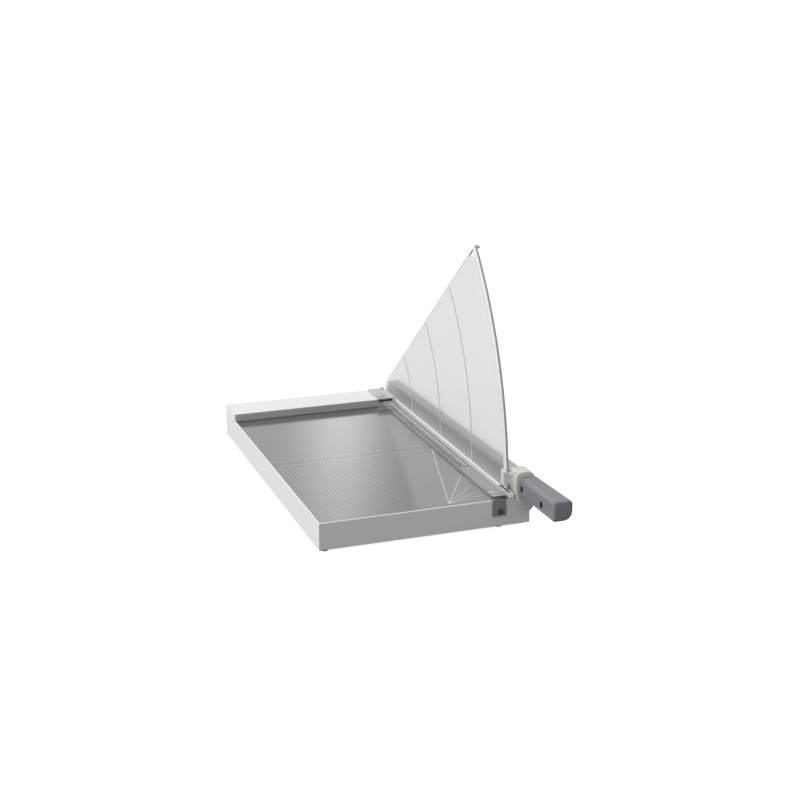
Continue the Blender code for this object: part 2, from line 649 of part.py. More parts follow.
def build_spring(name, place):
    """A compression spring: a helix with flat ends, as a bevelled curve."""
    curve = bpy.data.curves.new(name, "CURVE")
    curve.dimensions = "3D"
    curve.bevel_depth = SPRING_WIRE * MM
    curve.bevel_resolution = 1
    curve.use_fill_caps = True
    spline = curve.splines.new("POLY")
    count = int(SPRING_TURNS * SPRING_STEPS)
    spline.points.add(count)
    lead = SPRING_Z1 - SPRING_Z0 - 2 * SPRING_WIRE
    for i in range(count + 1):
        turn = i / count * SPRING_TURNS
        rise = (turn - SPRING_FLAT) / (SPRING_TURNS - 2 * SPRING_FLAT)
        x = SPRING_R * math.cos(turn * math.tau)
        y = SPRING_R * math.sin(turn * math.tau)
        z = SPRING_WIRE + lead * min(max(rise, 0.0), 1.0) + SPRING_CREEP * turn
        spline.points[i].co = (x * MM, y * MM, z * MM, 1.0)
    ob = bpy.data.objects.new(name, curve)
    ob.location = on_axis("z", SPRING_Z0, place)
    PARTS.objects.link(ob)
    curve.materials.append(ZINC)


# ------------------------------------------------------- pivot bracket and bolt
WASHER_X0 = ARM_WEB_X1 + 0.2
WASHER_X1 = WASHER_X0 + 1.0
CHEEK_X0 = WASHER_X1 + 0.2    # upright cheek of the bracket
CHEEK_X1 = CHEEK_X0 + 4.0
BRACKET_Y0, BRACKET_Y1 = 459.0, 483.0
BRACKET_Z0 = -33.6
BOLT_X0 = BLADE_X0 + 0.1      # head face, flush in the blade
BOLT_PROFILE = [          # x, radius
    (BOLT_X0, 0.0), (BOLT_X0, 6.8), (BLADE_X0 + 0.4, 6.9), (BLADE_X0 + 3.2, BOLT_R),
    (274.6, BOLT_R), (275.4, 3.2), (275.4, 0.0),
]


def build_pivot_bracket():
    outline = pivot_arc(8.6, -10.0, 190.0, 16)
    outline += [(BRACKET_Y1, -31.0), (BRACKET_Y1, BRACKET_Z0),
                (BRACKET_Y0, BRACKET_Z0), (BRACKET_Y0, -31.0)]
    bracket = plate("pivot_bracket", outline, (CHEEK_X0, CHEEK_X1), ZINC)
    smooth(bracket, 25)
    join_box(bracket, "add_bracket_foot", (CHEEK_X0 + 0.5, 276.8), (BRACKET_Y0, BRACKET_Y1),
             (BRACKET_Z0, BRACKET_Z0 + 3.0))
    drill(bracket, "cut_bracket_bore", "x", [PIVOT], through(CHEEK_X0, CHEEK_X1),
          BOLT_R + 0.3, sides=24)
    drill(bracket, "cut_bracket_foot_holes", "z", PIVOT_BRACKET_SCREWS, (-36.0, -29.0), 1.9,
          sides=12)
    screws("pivot_bracket_screw", "z", PIVOT_BRACKET_SCREWS, (-BASE_H - 1.9, -28.0),
           head=(3.2, 1.8), shank=1.55, socket=1.3, steps=14)


def build_ring(name, x0, x1, radius, bore, mat, sides=20):
    """Washer or nut about the pivot."""
    bm = bmesh.new()
    add_cylinder(bm, "x", PIVOT, (x0, x1), radius, sides)
    ob = link(name, finish(bm, name), mat, on_axis("x", (x0 + x1) / 2, PIVOT))
    drill(ob, "cut_" + name, "x", [PIVOT], through(x0, x1), bore, sides=24)
    return ob


def build_bolt():
    lathe("pivot_bolt", [(x - PIVOT_X, radius) for x, radius in BOLT_PROFILE],
          point(PIVOT_X, *PIVOT), ZINC, "x", 24)
    smooth(build_ring("arm_washer", WASHER_X0, WASHER_X1, 8.0, BOLT_R + 0.3, NYLON), 30)
    smooth(build_ring("nut_washer", CHEEK_X1 + 0.25, CHEEK_X1 + 1.45, 7.6, BOLT_R + 0.3,
                      ZINC), 30)
    build_ring("pivot_nut", CHEEK_X1 + 1.7, 274.2, 7.2, BOLT_R + 0.25, ZINC, sides=6)


# ------------------------------------------------------------------ blade arm
ARM_DEPTH = 19.0          # height of the channel's side webs
ARM_ROOF_T = 2.6


def arm_top(y):
    return ARM_TOP_FRONT + (ARM_TOP_REAR - ARM_TOP_FRONT) * y / PIVOT_Y


def arm_channel():
    """Inverted channel along the arm, shallower near the pivot."""
    rear = PIVOT_Y + 1.5
    taper_y = PIVOT_Y - 34.0
    outline = [(ARM_Y0 + 0.1, arm_top(ARM_Y0) - ARM_DEPTH), (ARM_Y0 + 0.1, arm_top(ARM_Y0)),
               (rear, arm_top(rear)), (rear, arm_top(PIVOT_Y) - 7.0),
               (PIVOT_Y - 10.0, arm_top(PIVOT_Y) - 12.0), (taper_y, arm_top(taper_y) - ARM_DEPTH)]
    channel = plate("add_arm_profile", outline, (ARM_X0 + 1.0, ARM_X1))
    y0, y1 = ARM_Y0 - 5.0, PIVOT_Y + 5.0
    top0, top1 = arm_top(y0), arm_top(y1)
    inside = [(y0, top0 - 40.0), (y0, top0 - ARM_ROOF_T),
              (y1, top1 - ARM_ROOF_T), (y1, top1 - 40.0)]
    boolean(channel, plate("cut_arm_inside", inside, (ARM_X0 + 2.2, ARM_X1 - ARM_WEB)))
    add_bevel(channel, 0.5, segments=1, angle=60)
    return channel


def build_arm():
    outline = [(ARM_Y0, 14.0), (20.0, 14.0), (440.0, 7.2)]
    outline += pivot_arc(PIVOT_R, -48.0, -180.0, 12)
    outline += [(PIVOT_Y + PIVOT_R, 13.5), (PIVOT_Y + 7.5, 20.0),
                (PIVOT_Y + 2.0, arm_top(PIVOT_Y + 2.0) - 0.4), (ARM_Y0, arm_top(ARM_Y0) - 0.4)]
    arm = plate("blade_arm", outline, (ARM_X0, ARM_WEB_X1), ARM_PAINT,
                origin=point(PIVOT_X, *PIVOT))
    boolean(arm, arm_channel(), "UNION")
    web = through(ARM_X0, ARM_WEB_X1)
    drill(arm, "cut_arm_bore", "x", [PIVOT], web, BOLT_R + 0.06, sides=24)
    drill_bolt_sink(arm, "cut_arm_sink")
    drill(arm, "cut_arm_screw_holes", "x", BLADE_SCREWS + HEEL_SCREWS, web, 1.9, sides=12)
    drill(arm, "cut_arm_rivet_holes", "x", TANG_RIVETS, through(ARM_X0, ARM_X1), 2.3, sides=12)


# -------------------------------------------------------------- cutting blade
BLADE_Y0 = 14.2
BLADE_END_R = PIVOT_R - 0.3


def blade_top(y):
    return 28.9 - 0.0097 * (y - 16.0)


def blade_edge(y):
    """Height of the cutting edge, bowed down between its ends."""
    fraction = min(max((y - 14.0) / 430.0, 0), 1)
    return -9.0 - 3.6 * math.sin(math.pi * fraction ** 0.9)


def build_blade():
    outline = [(BLADE_Y0, blade_top(BLADE_Y0)), (BLADE_Y0, -4.0)]
    outline += [(y, blade_edge(y)) for y in (17, 60, 110, 160, 210, 260, 310, 360, 400, 430)]
    outline += [(452.0, -9.2)]
    outline += pivot_arc(BLADE_END_R, -50.0, -180.0, 12)
    outline += [(PIVOT_Y + BLADE_END_R, 12.5), (PIVOT_Y + 6.5, 18.5),
                (PIVOT_Y - 2.0, blade_top(PIVOT_Y))]
    blade = plate("cutting_blade", outline, (BLADE_X0, BLADE_X1), STEEL,
                  origin=point(PIVOT_X, *PIVOT))
    drill_bolt_sink(blade, "cut_blade_bore")
    drill(blade, "cut_blade_sinks", "x", BLADE_SCREWS, (BLADE_X0 - 0.2, BLADE_X0 + 1.55), 4.3,
          end_radius=2.5, sides=12)
    drill(blade, "cut_blade_holes", "x", BLADE_SCREWS + HEEL_SCREWS,
          through(BLADE_X0, BLADE_X1), 1.9, sides=12)
    screws("blade_screw", "x", BLADE_SCREWS, (BLADE_X0 + 0.1, 264.0), head=(3.4, 1.5),
           shank=1.6, flat=True, socket=1.3, steps=16, origin_along=BLADE_X0)


def build_heel_plate():
    heel = box("blade_heel_plate", (BLADE_X0 - 1.7, BLADE_X0 - GAP), (382.5, 428.5),
               (11.5, 22.3), BLACK, bevel=0.4)
    drill(heel, "cut_heel_holes", "x", HEEL_SCREWS, (BLADE_X0 - 4, BLADE_X0 + 2), 1.9, sides=12)
    screws("heel_plate_screw", "x", HEEL_SCREWS, (BLADE_X0 - 2.7, 264.0),
           head=(3.2, 0.8), shank=1.6, socket=1.2, steps=12)


# ------------------------------------------------------------ tang and collar
TANG_X0, TANG_X1 = 265.4, 270.6
TANG_Y0 = -98.0
TANG_Z0, TANG_Z1 = 13.8, 26.0
TANG_ROOM_X = (TANG_X0 - GAP, TANG_X1 + GAP)
TANG_ROOM_Z = (TANG_Z0 - GAP, TANG_Z1 + GAP)

COLLAR_FLANGE = [         # x, z
    (257.0, 33.0), (256.0, 29.0), (255.7, 20.0), (256.2, 11.0), (258.4, 2.0), (262.0, -6.0),
    (266.5, -12.2), (270.4, -15.2), (274.0, -16.0), (277.6, -15.0), (280.2, -12.4),
    (281.8, -8.0), (282.8, -1.0), (283.3, 8.0), (283.2, 18.0), (282.4, 27.0),
    (280.6, 33.2), (277.0, 36.2), (271.0, 37.4), (264.5, 37.0), (259.6, 35.6),
]
COLLAR_WALL = [           # x, z
    (245.6, 17.8), (260.0, 17.6), (260.0, 34.0), (256.5, 32.8),
    (253.0, 31.9), (249.5, 32.3), (246.8, 33.6), (245.6, 34.6),
]
COLLAR_FINGER = [(2.4, 17.6), (13.2, 17.6), (13.2, 36.4), (9.0, 36.0), (2.4, 34.9)]  # y, z


def build_tang():
    tang = box("handle_tang", (TANG_X0, TANG_X1), (TANG_Y0, 70.0), (TANG_Z0, TANG_Z1), ZINC,
               bevel=0.5, segments=1)
    span = through(TANG_X0, TANG_X1)
    drill(tang, "cut_tang_rivet_holes", "x", TANG_RIVETS, span, 2.3, sides=12)
    drill(tang, "cut_tang_screw_holes", "x", HANDLE_SCREWS, span, 2.1, sides=12)
    screws("tang_rivet", "x", TANG_RIVETS, (ARM_X1 + 1.7, ARM_X0 + 0.15),
           head=(4.0, 1.4), shank=2.0)


def build_collar():
    collar = plate("handle_collar", COLLAR_FLANGE, (-9.8, -5.0), WHITE, plane="XZ")
    add_bevel(collar, 1.2, segments=3, angle=50)
    join_box(collar, "add_collar_sleeve", (256.4, 277.8), (-7.0, 13.2), (10.6, 37.0),
             bevel=1.6, segments=3)
    join_plate(collar, "add_collar_wall", COLLAR_WALL, (2.6, 8.2), plane="XZ")
    join_plate(collar, "add_collar_finger", COLLAR_FINGER, (244.9, 250.2))
    cut_box(collar, "cut_collar_channel", (ARM_X0 - GAP, ARM_X1 + GAP), (ARM_Y0 - GAP, 20.0),
            (13.4, arm_top(ARM_Y0) + GAP))
    cut_box(collar, "cut_collar_tang", TANG_ROOM_X, (-20.0, 5.0), TANG_ROOM_Z)
    # room for the guard rim and sheet to pass
    cut_box(collar, "cut_collar_rim_gap", (250.2, 256.2), (8.2, 30.0), (5.0, 50.0))


# -------------------------------------------------------------- handle shells
GRIP_Y0, GRIP_Y1 = -112.0, -10.2      # free end, collar end
GRIP_SECTION = rounded(260.0, 286.0, 7.6, 33.6, (3.0, 12.0, 6.0, 4.5), 6)
SPLIT_X = 268.0
SPLIT_HALF_GAP = 0.15
TAPER_X, TAPER_Z = 272.0, 20.0        # centre line of the taper
COLLAR_SCALE_X, COLLAR_SCALE_Z = 0.96, 0.93
COLLAR_DROP = 1.4


def shape_grip(ob):
    """Slight taper and drop from the free end towards the collar."""
    for vert in ob.data.vertices:
        world = vert.co + ob.location
        y = world.y / MM + MIDDLE_Y
        free = (y - GRIP_Y1) / (GRIP_Y0 - GRIP_Y1)    # 0 at the collar, 1 at the free end
        scale_x = COLLAR_SCALE_X + (1 - COLLAR_SCALE_X) * free
        scale_z = COLLAR_SCALE_Z + (1 - COLLAR_SCALE_Z) * free
        x = (world.x / MM + MIDDLE_X - TAPER_X) * scale_x + TAPER_X
        z = (world.z / MM - RIM_HEIGHT - TAPER_Z) * scale_z + TAPER_Z - COLLAR_DROP * (1 - free)
        vert.co = point(x, y, z) - ob.location


def build_shell(name, split_cut, split_cut_x):
    """The whole grip, cut back to one side of the split and hollowed for the tang."""
    shell = plate(name, GRIP_SECTION, (GRIP_Y0, GRIP_Y1), GRIP, plane="XZ",
                  origin=point(SPLIT_X, (GRIP_Y0 + GRIP_Y1) / 2, 19.0))
    shape_grip(shell)
    smooth(shell, 40)
    add_bevel(shell, 2.4, segments=3, angle=50)
    cut_box(shell, split_cut, split_cut_x, (GRIP_Y0 - 10, GRIP_Y1 + 10), (-20.0, 60.0))
    cut_box(shell, "cut_tang_room_" + name, TANG_ROOM_X, (TANG_Y0 - 0.4, 10.0), TANG_ROOM_Z)
    return shell


def build_handle():
    left = build_shell("handle_shell_left", "cut_grip_right_of_split",
                       (SPLIT_X - SPLIT_HALF_GAP, 320.0))
    right = build_shell("handle_shell_right", "cut_grip_left_of_split",
                        (230.0, SPLIT_X + SPLIT_HALF_GAP))
    drill(left, "cut_grip_recess", "x", HANDLE_SCREWS, (250.0, 262.4), 3.9, sides=18)
    drill(left, "cut_grip_bore_left", "x", HANDLE_SCREWS, (255.0, 272.0), 2.1, sides=12)
    drill(right, "cut_grip_bore_right", "x", HANDLE_SCREWS, (262.0, 279.0), 2.1, sides=12)
    screws("handle_screw", "x", HANDLE_SCREWS, (260.9, 277.5),
           head=(3.4, 1.2), shank=1.8, socket=1.6)


# ------------------------------------------------------------------- assembly
ARM_BODY = ["blade_arm", "cutting_blade", "blade_heel_plate", "handle_tang", "handle_collar",
            "handle_shell_left", "handle_shell_right",
            "blade_screw_1", "blade_screw_2", "blade_screw_3", "blade_screw_4",
            "heel_plate_screw_1", "heel_plate_screw_2", "tang_rivet_1", "tang_rivet_2",
            "handle_screw_1", "handle_screw_2"]
CLAMP_BODY = ["clamp_strip", "clamp_finger_plate"]


def attach(names, root):
    """Parent the named pieces to an empty without moving them."""
    for name in names:
        ob = bpy.data.objects[name]
        ob.parent = root
        ob.matrix_parent_inverse = root.matrix_world.inverted()


build_housing()
build_bottom_cover()
build_feet()
build_table()
build_back_stop()
build_counter_blade()
build_rail()
build_guard_sheet()
build_guard_rim()
build_front_bracket()
build_rear_bracket()
clamp_slide = build_clamp()
for end_name, spring_place in SPRINGS.items():
    build_spring("clamp_spring_" + end_name, spring_place)
arm_pivot = add_empty("arm_pivot", point(PIVOT_X, *PIVOT), 0.03)
build_pivot_bracket()
build_bolt()
build_arm()
build_blade()
build_heel_plate()
build_tang()
build_collar()
build_handle()

bpy.context.view_layer.update()
attach(ARM_BODY, arm_pivot)
attach(CLAMP_BODY, clamp_slide)
bpy.context.view_layer.update()
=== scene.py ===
# Guillotine paper cutter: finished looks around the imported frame.
# The base lies flat with its long side along Y. The blade arm's pivot is at the back, its grip
# sticks out at the front right, and an upright frosted guard stands along the right side.
import json
import math

import bpy
import bmesh
from mathutils import Matrix, Vector

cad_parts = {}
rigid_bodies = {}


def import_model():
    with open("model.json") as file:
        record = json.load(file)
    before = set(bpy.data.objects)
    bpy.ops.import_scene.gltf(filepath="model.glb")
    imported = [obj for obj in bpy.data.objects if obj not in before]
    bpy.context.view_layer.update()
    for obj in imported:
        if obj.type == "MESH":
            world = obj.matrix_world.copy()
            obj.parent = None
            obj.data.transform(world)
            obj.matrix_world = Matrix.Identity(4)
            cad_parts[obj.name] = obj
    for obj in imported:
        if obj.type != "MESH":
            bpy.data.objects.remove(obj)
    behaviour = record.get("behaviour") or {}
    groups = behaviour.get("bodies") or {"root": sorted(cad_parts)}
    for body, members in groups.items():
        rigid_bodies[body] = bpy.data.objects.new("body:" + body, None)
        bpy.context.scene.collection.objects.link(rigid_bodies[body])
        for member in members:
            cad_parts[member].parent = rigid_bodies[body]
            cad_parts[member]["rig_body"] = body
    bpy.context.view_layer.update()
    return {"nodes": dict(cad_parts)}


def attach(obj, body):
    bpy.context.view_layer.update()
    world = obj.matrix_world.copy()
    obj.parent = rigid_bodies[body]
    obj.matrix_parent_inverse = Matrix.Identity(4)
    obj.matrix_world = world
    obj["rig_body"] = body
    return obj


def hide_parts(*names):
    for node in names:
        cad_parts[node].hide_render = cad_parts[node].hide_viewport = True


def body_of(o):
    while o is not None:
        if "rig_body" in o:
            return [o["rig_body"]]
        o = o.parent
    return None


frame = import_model()
NODES = frame["nodes"]

# ---------------------------------------------------------------------------
# Working coordinates in millimetres: X right and Y back from the base's front
# left rim corner, Z up from the rim.
# ---------------------------------------------------------------------------
MM = 0.001
PER_METRE = 1000.0
ORIGIN_X, ORIGIN_Y, ORIGIN_Z = 142.99, 187.0, 39.0


def place(x, y, z):
    """Working coordinates to scene coordinates."""
    return Vector(((x - ORIGIN_X) * MM, (y - ORIGIN_Y) * MM, (z + ORIGIN_Z) * MM))


# Guard: an upright sheet in the Y-Z plane, its front edge an arc about the blade pivot
PIVOT_Y, PIVOT_Z = 474.0, -2.5
GUARD_X, GUARD_THICK, GUARD_RADIUS = 253.2, 1.8, 463.0
GUARD_FOOT_Z = 3.2
ARC_TOP_ANGLE = 39.0                              # where the sheet's arc ends, degrees
SLOPE, SLOPE_Z = math.radians(38.54), 25.6        # top edge: its fall to the back, Z at the pivot
RIM_INNER, RIM_OUTER, RIM_WIDTH = 456.6, 465.6, 3.6
RIM_FOOT_Z, RIM_TOP_ANGLE = 8.7, 41.2

# Grip: two half shells along Y, parted at one X
GRIP_FRONT, GRIP_BACK = -112.0, -10.2
GRIP_LEFT, GRIP_RIGHT, GRIP_BOTTOM, GRIP_TOP = 260.0, 286.0, 7.6, 33.6
GRIP_MID_X, GRIP_MID_Z = 272.0, 20.0              # the taper closes in on this line
GRIP_SPLIT, GRIP_GAP = 268.0, 0.24
GRIP_FILLET, GRIP_FILLET_STEPS = 3.0, 8           # front end
GRIP_BACK_ROUND, GRIP_BACK_BREAK = 0.8, 0.25      # back end: inset of the last two rings
GRIP_STEPS, CORNER_STEPS = 26, 12
RECESSES = ((-18.0, 17.6), (-76.3, 17.9))         # screw recesses in the left shell: Y, Z
RECESS_RADIUS, RECESS_START, RECESS_FLOOR = 3.9, 250.0, 262.6


# ---------------------------------------------------------------------------
# Node helpers
# ---------------------------------------------------------------------------
class Net:
    """A short way of writing node trees: values and sockets are interchangeable."""

    def __init__(self, owner, output_kind):
        owner.use_nodes = True
        self.tree = owner.node_tree
        self.tree.nodes.clear()
        self.x = 0
        self.output = self.add(output_kind)

    def add(self, kind, **settings):
        node = self.tree.nodes.new(kind)
        self.x += 160
        node.location = (self.x, 0)
        for key, value in settings.items():
            setattr(node, key, value)
        return node

    def put(self, socket, value):
        if isinstance(value, bpy.types.NodeSocket):
            self.tree.links.new(value, socket)
        elif value is not None:
            if socket.type == "RGBA" and len(value) == 3:
                value = (*value, 1.0)
            socket.default_value = value

    def node(self, kind, inputs=None, out=0, **settings):
        """Adds a node, fills its inputs by name or index and returns one output."""
        node = self.add(kind, **settings)
        for key, value in (inputs or {}).items():
            self.put(node.inputs[key], value)
        return node.outputs[out]

    def finish(self, result):
        self.put(self.output.inputs[0], result)

    def math(self, op, a, b=None, c=None, clamp=False):
        return self.node("ShaderNodeMath", {0: a, 1: b, 2: c}, operation=op, use_clamp=clamp)

    def times(self, a, b):
        return self.math("MULTIPLY", a, b)

    def plus(self, a, b):
        return self.math("ADD", a, b)

    def minus(self, a, b):
        return self.math("SUBTRACT", a, b)

    def larger(self, a, b):
        return self.math("MAXIMUM", a, b)

    def ramp(self, value, span, start):
        return self.plus(self.times(value, span), start)

    def mix(self, factor, a, b):
        return self.node("ShaderNodeMix", {"Factor": factor, 6: a, 7: b}, 2, data_type="RGBA")

    def mix_value(self, factor, a, b):
        return self.node("ShaderNodeMix", {"Factor": factor, 2: a, 3: b}, data_type="FLOAT")

    def mix_shader(self, factor, a, b):
        return self.node("ShaderNodeMixShader", {0: factor, 1: a, 2: b})

    def noise(self, point, scale, detail=4.0, rough=0.55):
        inputs = {"Vector": point, "Scale": scale, "Detail": detail, "Roughness": rough}
        return self.node("ShaderNodeTexNoise", inputs, "Fac")

    def coords(self):
        return self.node("ShaderNodeTexCoord", out="Object")

    def stretch(self, point, x, y, z):
        return self.node("ShaderNodeMapping", {"Vector": point, "Scale": (x, y, z)}, "Vector")

    def xyz(self, point):
        node = self.add("ShaderNodeSeparateXYZ")
        self.put(node.inputs[0], point)
        return node.outputs[0], node.outputs[1], node.outputs[2]

    def bump(self, height, strength, distance, normal=None):
        inputs = {"Strength": strength, "Distance": distance, "Height": height, "Normal": normal}
        return self.node("ShaderNodeBump", inputs)

    def smooth(self, value, lo, hi, start=0.0, end=1.0):
        """A soft step: start at lo, end at hi."""
        inputs = {0: value, 1: lo, 2: hi, 3: start, 4: end}
        return self.node("ShaderNodeMapRange", inputs, interpolation_type="SMOOTHSTEP")

    def line(self, value, at, half, soft):
        """1 on a line at one value of a coordinate."""
        distance = self.math("ABSOLUTE", self.minus(value, at))
        return self.smooth(distance, lo=half + soft, hi=half)

    def principled(self, color, rough, metal=0.0, normal=None, spec=0.5):
        return self.node("ShaderNodeBsdfPrincipled", {
            "Base Color": color, "Roughness": rough, "Metallic": metal,
            "Specular IOR Level": spec, "Coat Roughness": 0.1, "Normal": normal})

    def transparent(self, color):
        return self.node("ShaderNodeBsdfTransparent", {"Color": color})

    def fresnel(self, ior):
        return self.node("ShaderNodeFresnel", {"IOR": ior})

    def white_glow(self, strength):
        return self.node("ShaderNodeEmission", {"Color": (1.0, 1.0, 1.0), "Strength": strength})

    def edge_mask(self, radius=0.0006):
        """0 on flats, towards 1 on sharp outer and inner edges."""
        rounded = self.node("ShaderNodeBevel", {"Radius": radius}, samples=4)
        true = self.node("ShaderNodeNewGeometry", out="Normal")
        cosine = self.node("ShaderNodeVectorMath", {0: rounded, 1: true}, "Value",
                           operation="DOT_PRODUCT")
        return self.smooth(cosine, lo=0.995, hi=0.86)


def new_material(name):
    material = bpy.data.materials.new(name)
    return material, Net(material, "ShaderNodeOutputMaterial")


def scaled(color, factor):
    return tuple(min(1.0, channel * factor) for channel in color)


def toned(net, factor, color, low, high):
    """A colour that runs between two brightnesses of itself."""
    return net.mix(factor, scaled(color, low), scaled(color, high))


# ---------------------------------------------------------------------------
# Opaque materials. Depths, radii and noise scales are in metres and per metre.
# ---------------------------------------------------------------------------
def moulded(name, color, rough=0.45, grain=1500.0, depth=0.00002, spec=0.5, tone=0.05,
            worn_and_highlit=0.0, worn_and_highlit_color=None):
    """Moulded plastic or paint: fine grain, faint clouding, uneven sheen, lighter edges: wear,
    and a painted highlight.
    """
    material, net = new_material(name)
    point = net.coords()
    cloud = net.noise(point, scale=14.0, detail=5.0)
    fine = net.noise(point, scale=grain, detail=3.0, rough=0.6)
    tint = toned(net, cloud, color, low=1 - tone, high=1 + tone)
    grain_shade = 0.12
    tint = net.mix(net.times(fine, grain_shade), tint, scaled(color, 0.8))
    # lighter edges, patchy: partly wear, partly a painted highlight, nearly white on the
    # housing's rim
    if worn_and_highlit:
        edges = net.edge_mask()
        patches = net.smooth(net.noise(point, scale=90.0, detail=6.0), lo=0.35, hi=0.7)
        worn_and_highlit_edges = net.times(edges, net.times(patches, worn_and_highlit))
        tint = net.mix(worn_and_highlit_edges, tint, worn_and_highlit_color or scaled(color, 1.25))
    sheen = net.ramp(net.noise(point, scale=35.0, detail=5.0), span=0.14, start=rough - 0.07)
    normal = net.bump(fine, strength=0.35, distance=depth)
    net.finish(net.principled(tint, sheen, normal=normal, spec=spec))
    return material


def metal(name, color, rough, along=(1, 1, 1), lines=900.0, tone=0.12):
    """Ground or plated metal: fine scratches stretched one way, smudges, darker spots."""
    material, net = new_material(name)
    point = net.coords()
    brushed = net.noise(net.stretch(point, *along), scale=lines, detail=2.0, rough=0.7)
    smudge = net.noise(point, scale=22.0, detail=6.0)
    tint = toned(net, brushed, color, low=1 - tone, high=1 + tone)
    spot_shade = 0.25
    spots = net.times(net.smooth(smudge, lo=0.5, hi=0.8), spot_shade)
    tint = net.mix(spots, tint, scaled(color, 0.75))
    spread = 0.12                     # how far scratches and smudges each vary the roughness
    sheen = net.plus(net.times(brushed, spread),
                     net.ramp(smudge, span=spread, start=rough - spread))
    normal = net.bump(brushed, strength=0.25, distance=0.00001)
    net.finish(net.principled(tint, sheen, metal=1.0, normal=normal))
    return material


def satin_rail(name, color, rough=0.3):
    """Anodised extrusion: pale, with drawing lines along its length and a soft sheen."""
    material, net = new_material(name)
    point = net.coords()
    drawn = net.noise(net.stretch(point, 1.0, 0.004, 1.0), scale=1500.0, detail=3.0, rough=0.6)
    cloud = net.noise(point, scale=20.0)
    cloud_shade, edge_shine, spread = 0.12, 0.6, 0.12
    tint = toned(net, drawn, color, low=0.86, high=1.1)
    tint = net.mix(net.times(cloud, cloud_shade), tint, scaled(color, 0.85))
    shine = net.times(net.edge_mask(radius=0.0007), edge_shine)
    tint = net.mix(shine, tint, (0.97, 0.97, 0.97))
    sheen = net.math("MULTIPLY_ADD", drawn, spread, rough - spread / 2)
    normal = net.bump(drawn, strength=0.2, distance=0.00001)
    net.finish(net.principled(tint, sheen, metal=0.25, normal=normal, spec=0.8))
    return material


# Print on the table, in millimetres
RULING_PHASE_X, RULING_PITCH = 176.4, 5.0
FORMAT_LINES_Y = (219.3, 236.7)       # two lines across; the band between them has no rulings
FAN_X, FAN_Y, FAN_END_SOFT = 174.6, 12.8, 0.3
# angle from X in degrees, length, strength of the print
FAN_RAYS = ((75.0, 211.0, 0.82), (60.0, 140.0, 0.82), (45.0, 75.0, 0.55),
            (30.0, 61.0, 0.55), (15.0, 55.0, 0.55))


def printed_rulings(net, x, y):
    """Rulings every 5 mm, left out of the band between the format lines."""
    front, back = FORMAT_LINES_Y
    offset = net.math("PINGPONG", net.minus(x, RULING_PHASE_X), RULING_PITCH / 2)
    rulings = net.smooth(offset, lo=0.62, hi=0.28)
    inside = net.times(net.smooth(x, lo=243.9, hi=243.6), net.smooth(x, lo=5.0, hi=5.3))
    soft = 0.2
    band = net.times(net.smooth(y, lo=front - soft, hi=front + soft),
                     net.smooth(y, lo=back + soft, hi=back - soft))
    return net.times(net.times(rulings, inside), net.minus(1.0, band))


def printed_ray(net, x, y, degrees, length):
    """One line of the angle fan."""
    cosine, sine = math.cos(math.radians(degrees)), math.sin(math.radians(degrees))
    dx = net.minus(x, FAN_X)
    dy = net.minus(y, FAN_Y)
    side = net.minus(net.times(dx, sine), net.times(dy, cosine))
    far = net.plus(net.times(dx, cosine), net.times(dy, sine))
    line = net.line(side, at=0.0, half=0.36, soft=0.32)
    soft = FAN_END_SOFT
    ends = net.times(net.smooth(far, lo=-soft, hi=soft),
                     net.smooth(far, lo=length + soft, hi=length - soft))
    return net.times(line, ends)


def table_material():
    """Dark gloss sheet with light print: rulings, format lines and the angle fan."""
    material, net = new_material("table_print")
    point = net.coords()
    x, y, _ = net.xyz(point)
    x = net.ramp(x, span=PER_METRE, start=ORIGIN_X)
    y = net.ramp(y, span=PER_METRE, start=ORIGIN_Y)
    rulings = printed_rulings(net, x, y)
    across = net.larger(*(net.line(y, at, half=0.35, soft=0.35) for at in FORMAT_LINES_Y))
    across = net.times(across, net.smooth(x, lo=222.2, hi=221.8))
    ruling_strength, format_strength = 0.18, 0.34
    ink = net.larger(net.times(rulings, ruling_strength), net.times(across, format_strength))
    for degrees, length, strength in FAN_RAYS:
        ray = printed_ray(net, x, y, degrees, length)
        ink = net.larger(ink, net.times(ray, strength))
    cloud = net.noise(point, scale=9.0, detail=5.0)
    ground = net.mix(cloud, (0.136, 0.142, 0.143), (0.150, 0.156, 0.157))
    tint = net.mix(ink, ground, (0.62, 0.63, 0.61))
    scuff = net.noise(net.stretch(point, 1.0, 0.25, 1.0), scale=60.0, detail=6.0)
    sheen = net.ramp(scuff, span=0.05, start=0.10)
    waves = net.noise(point, scale=40.0, detail=2.0)
    normal = net.bump(waves, strength=0.02, distance=0.00005)
    net.finish(net.principled(tint, sheen, normal=normal))
    return material


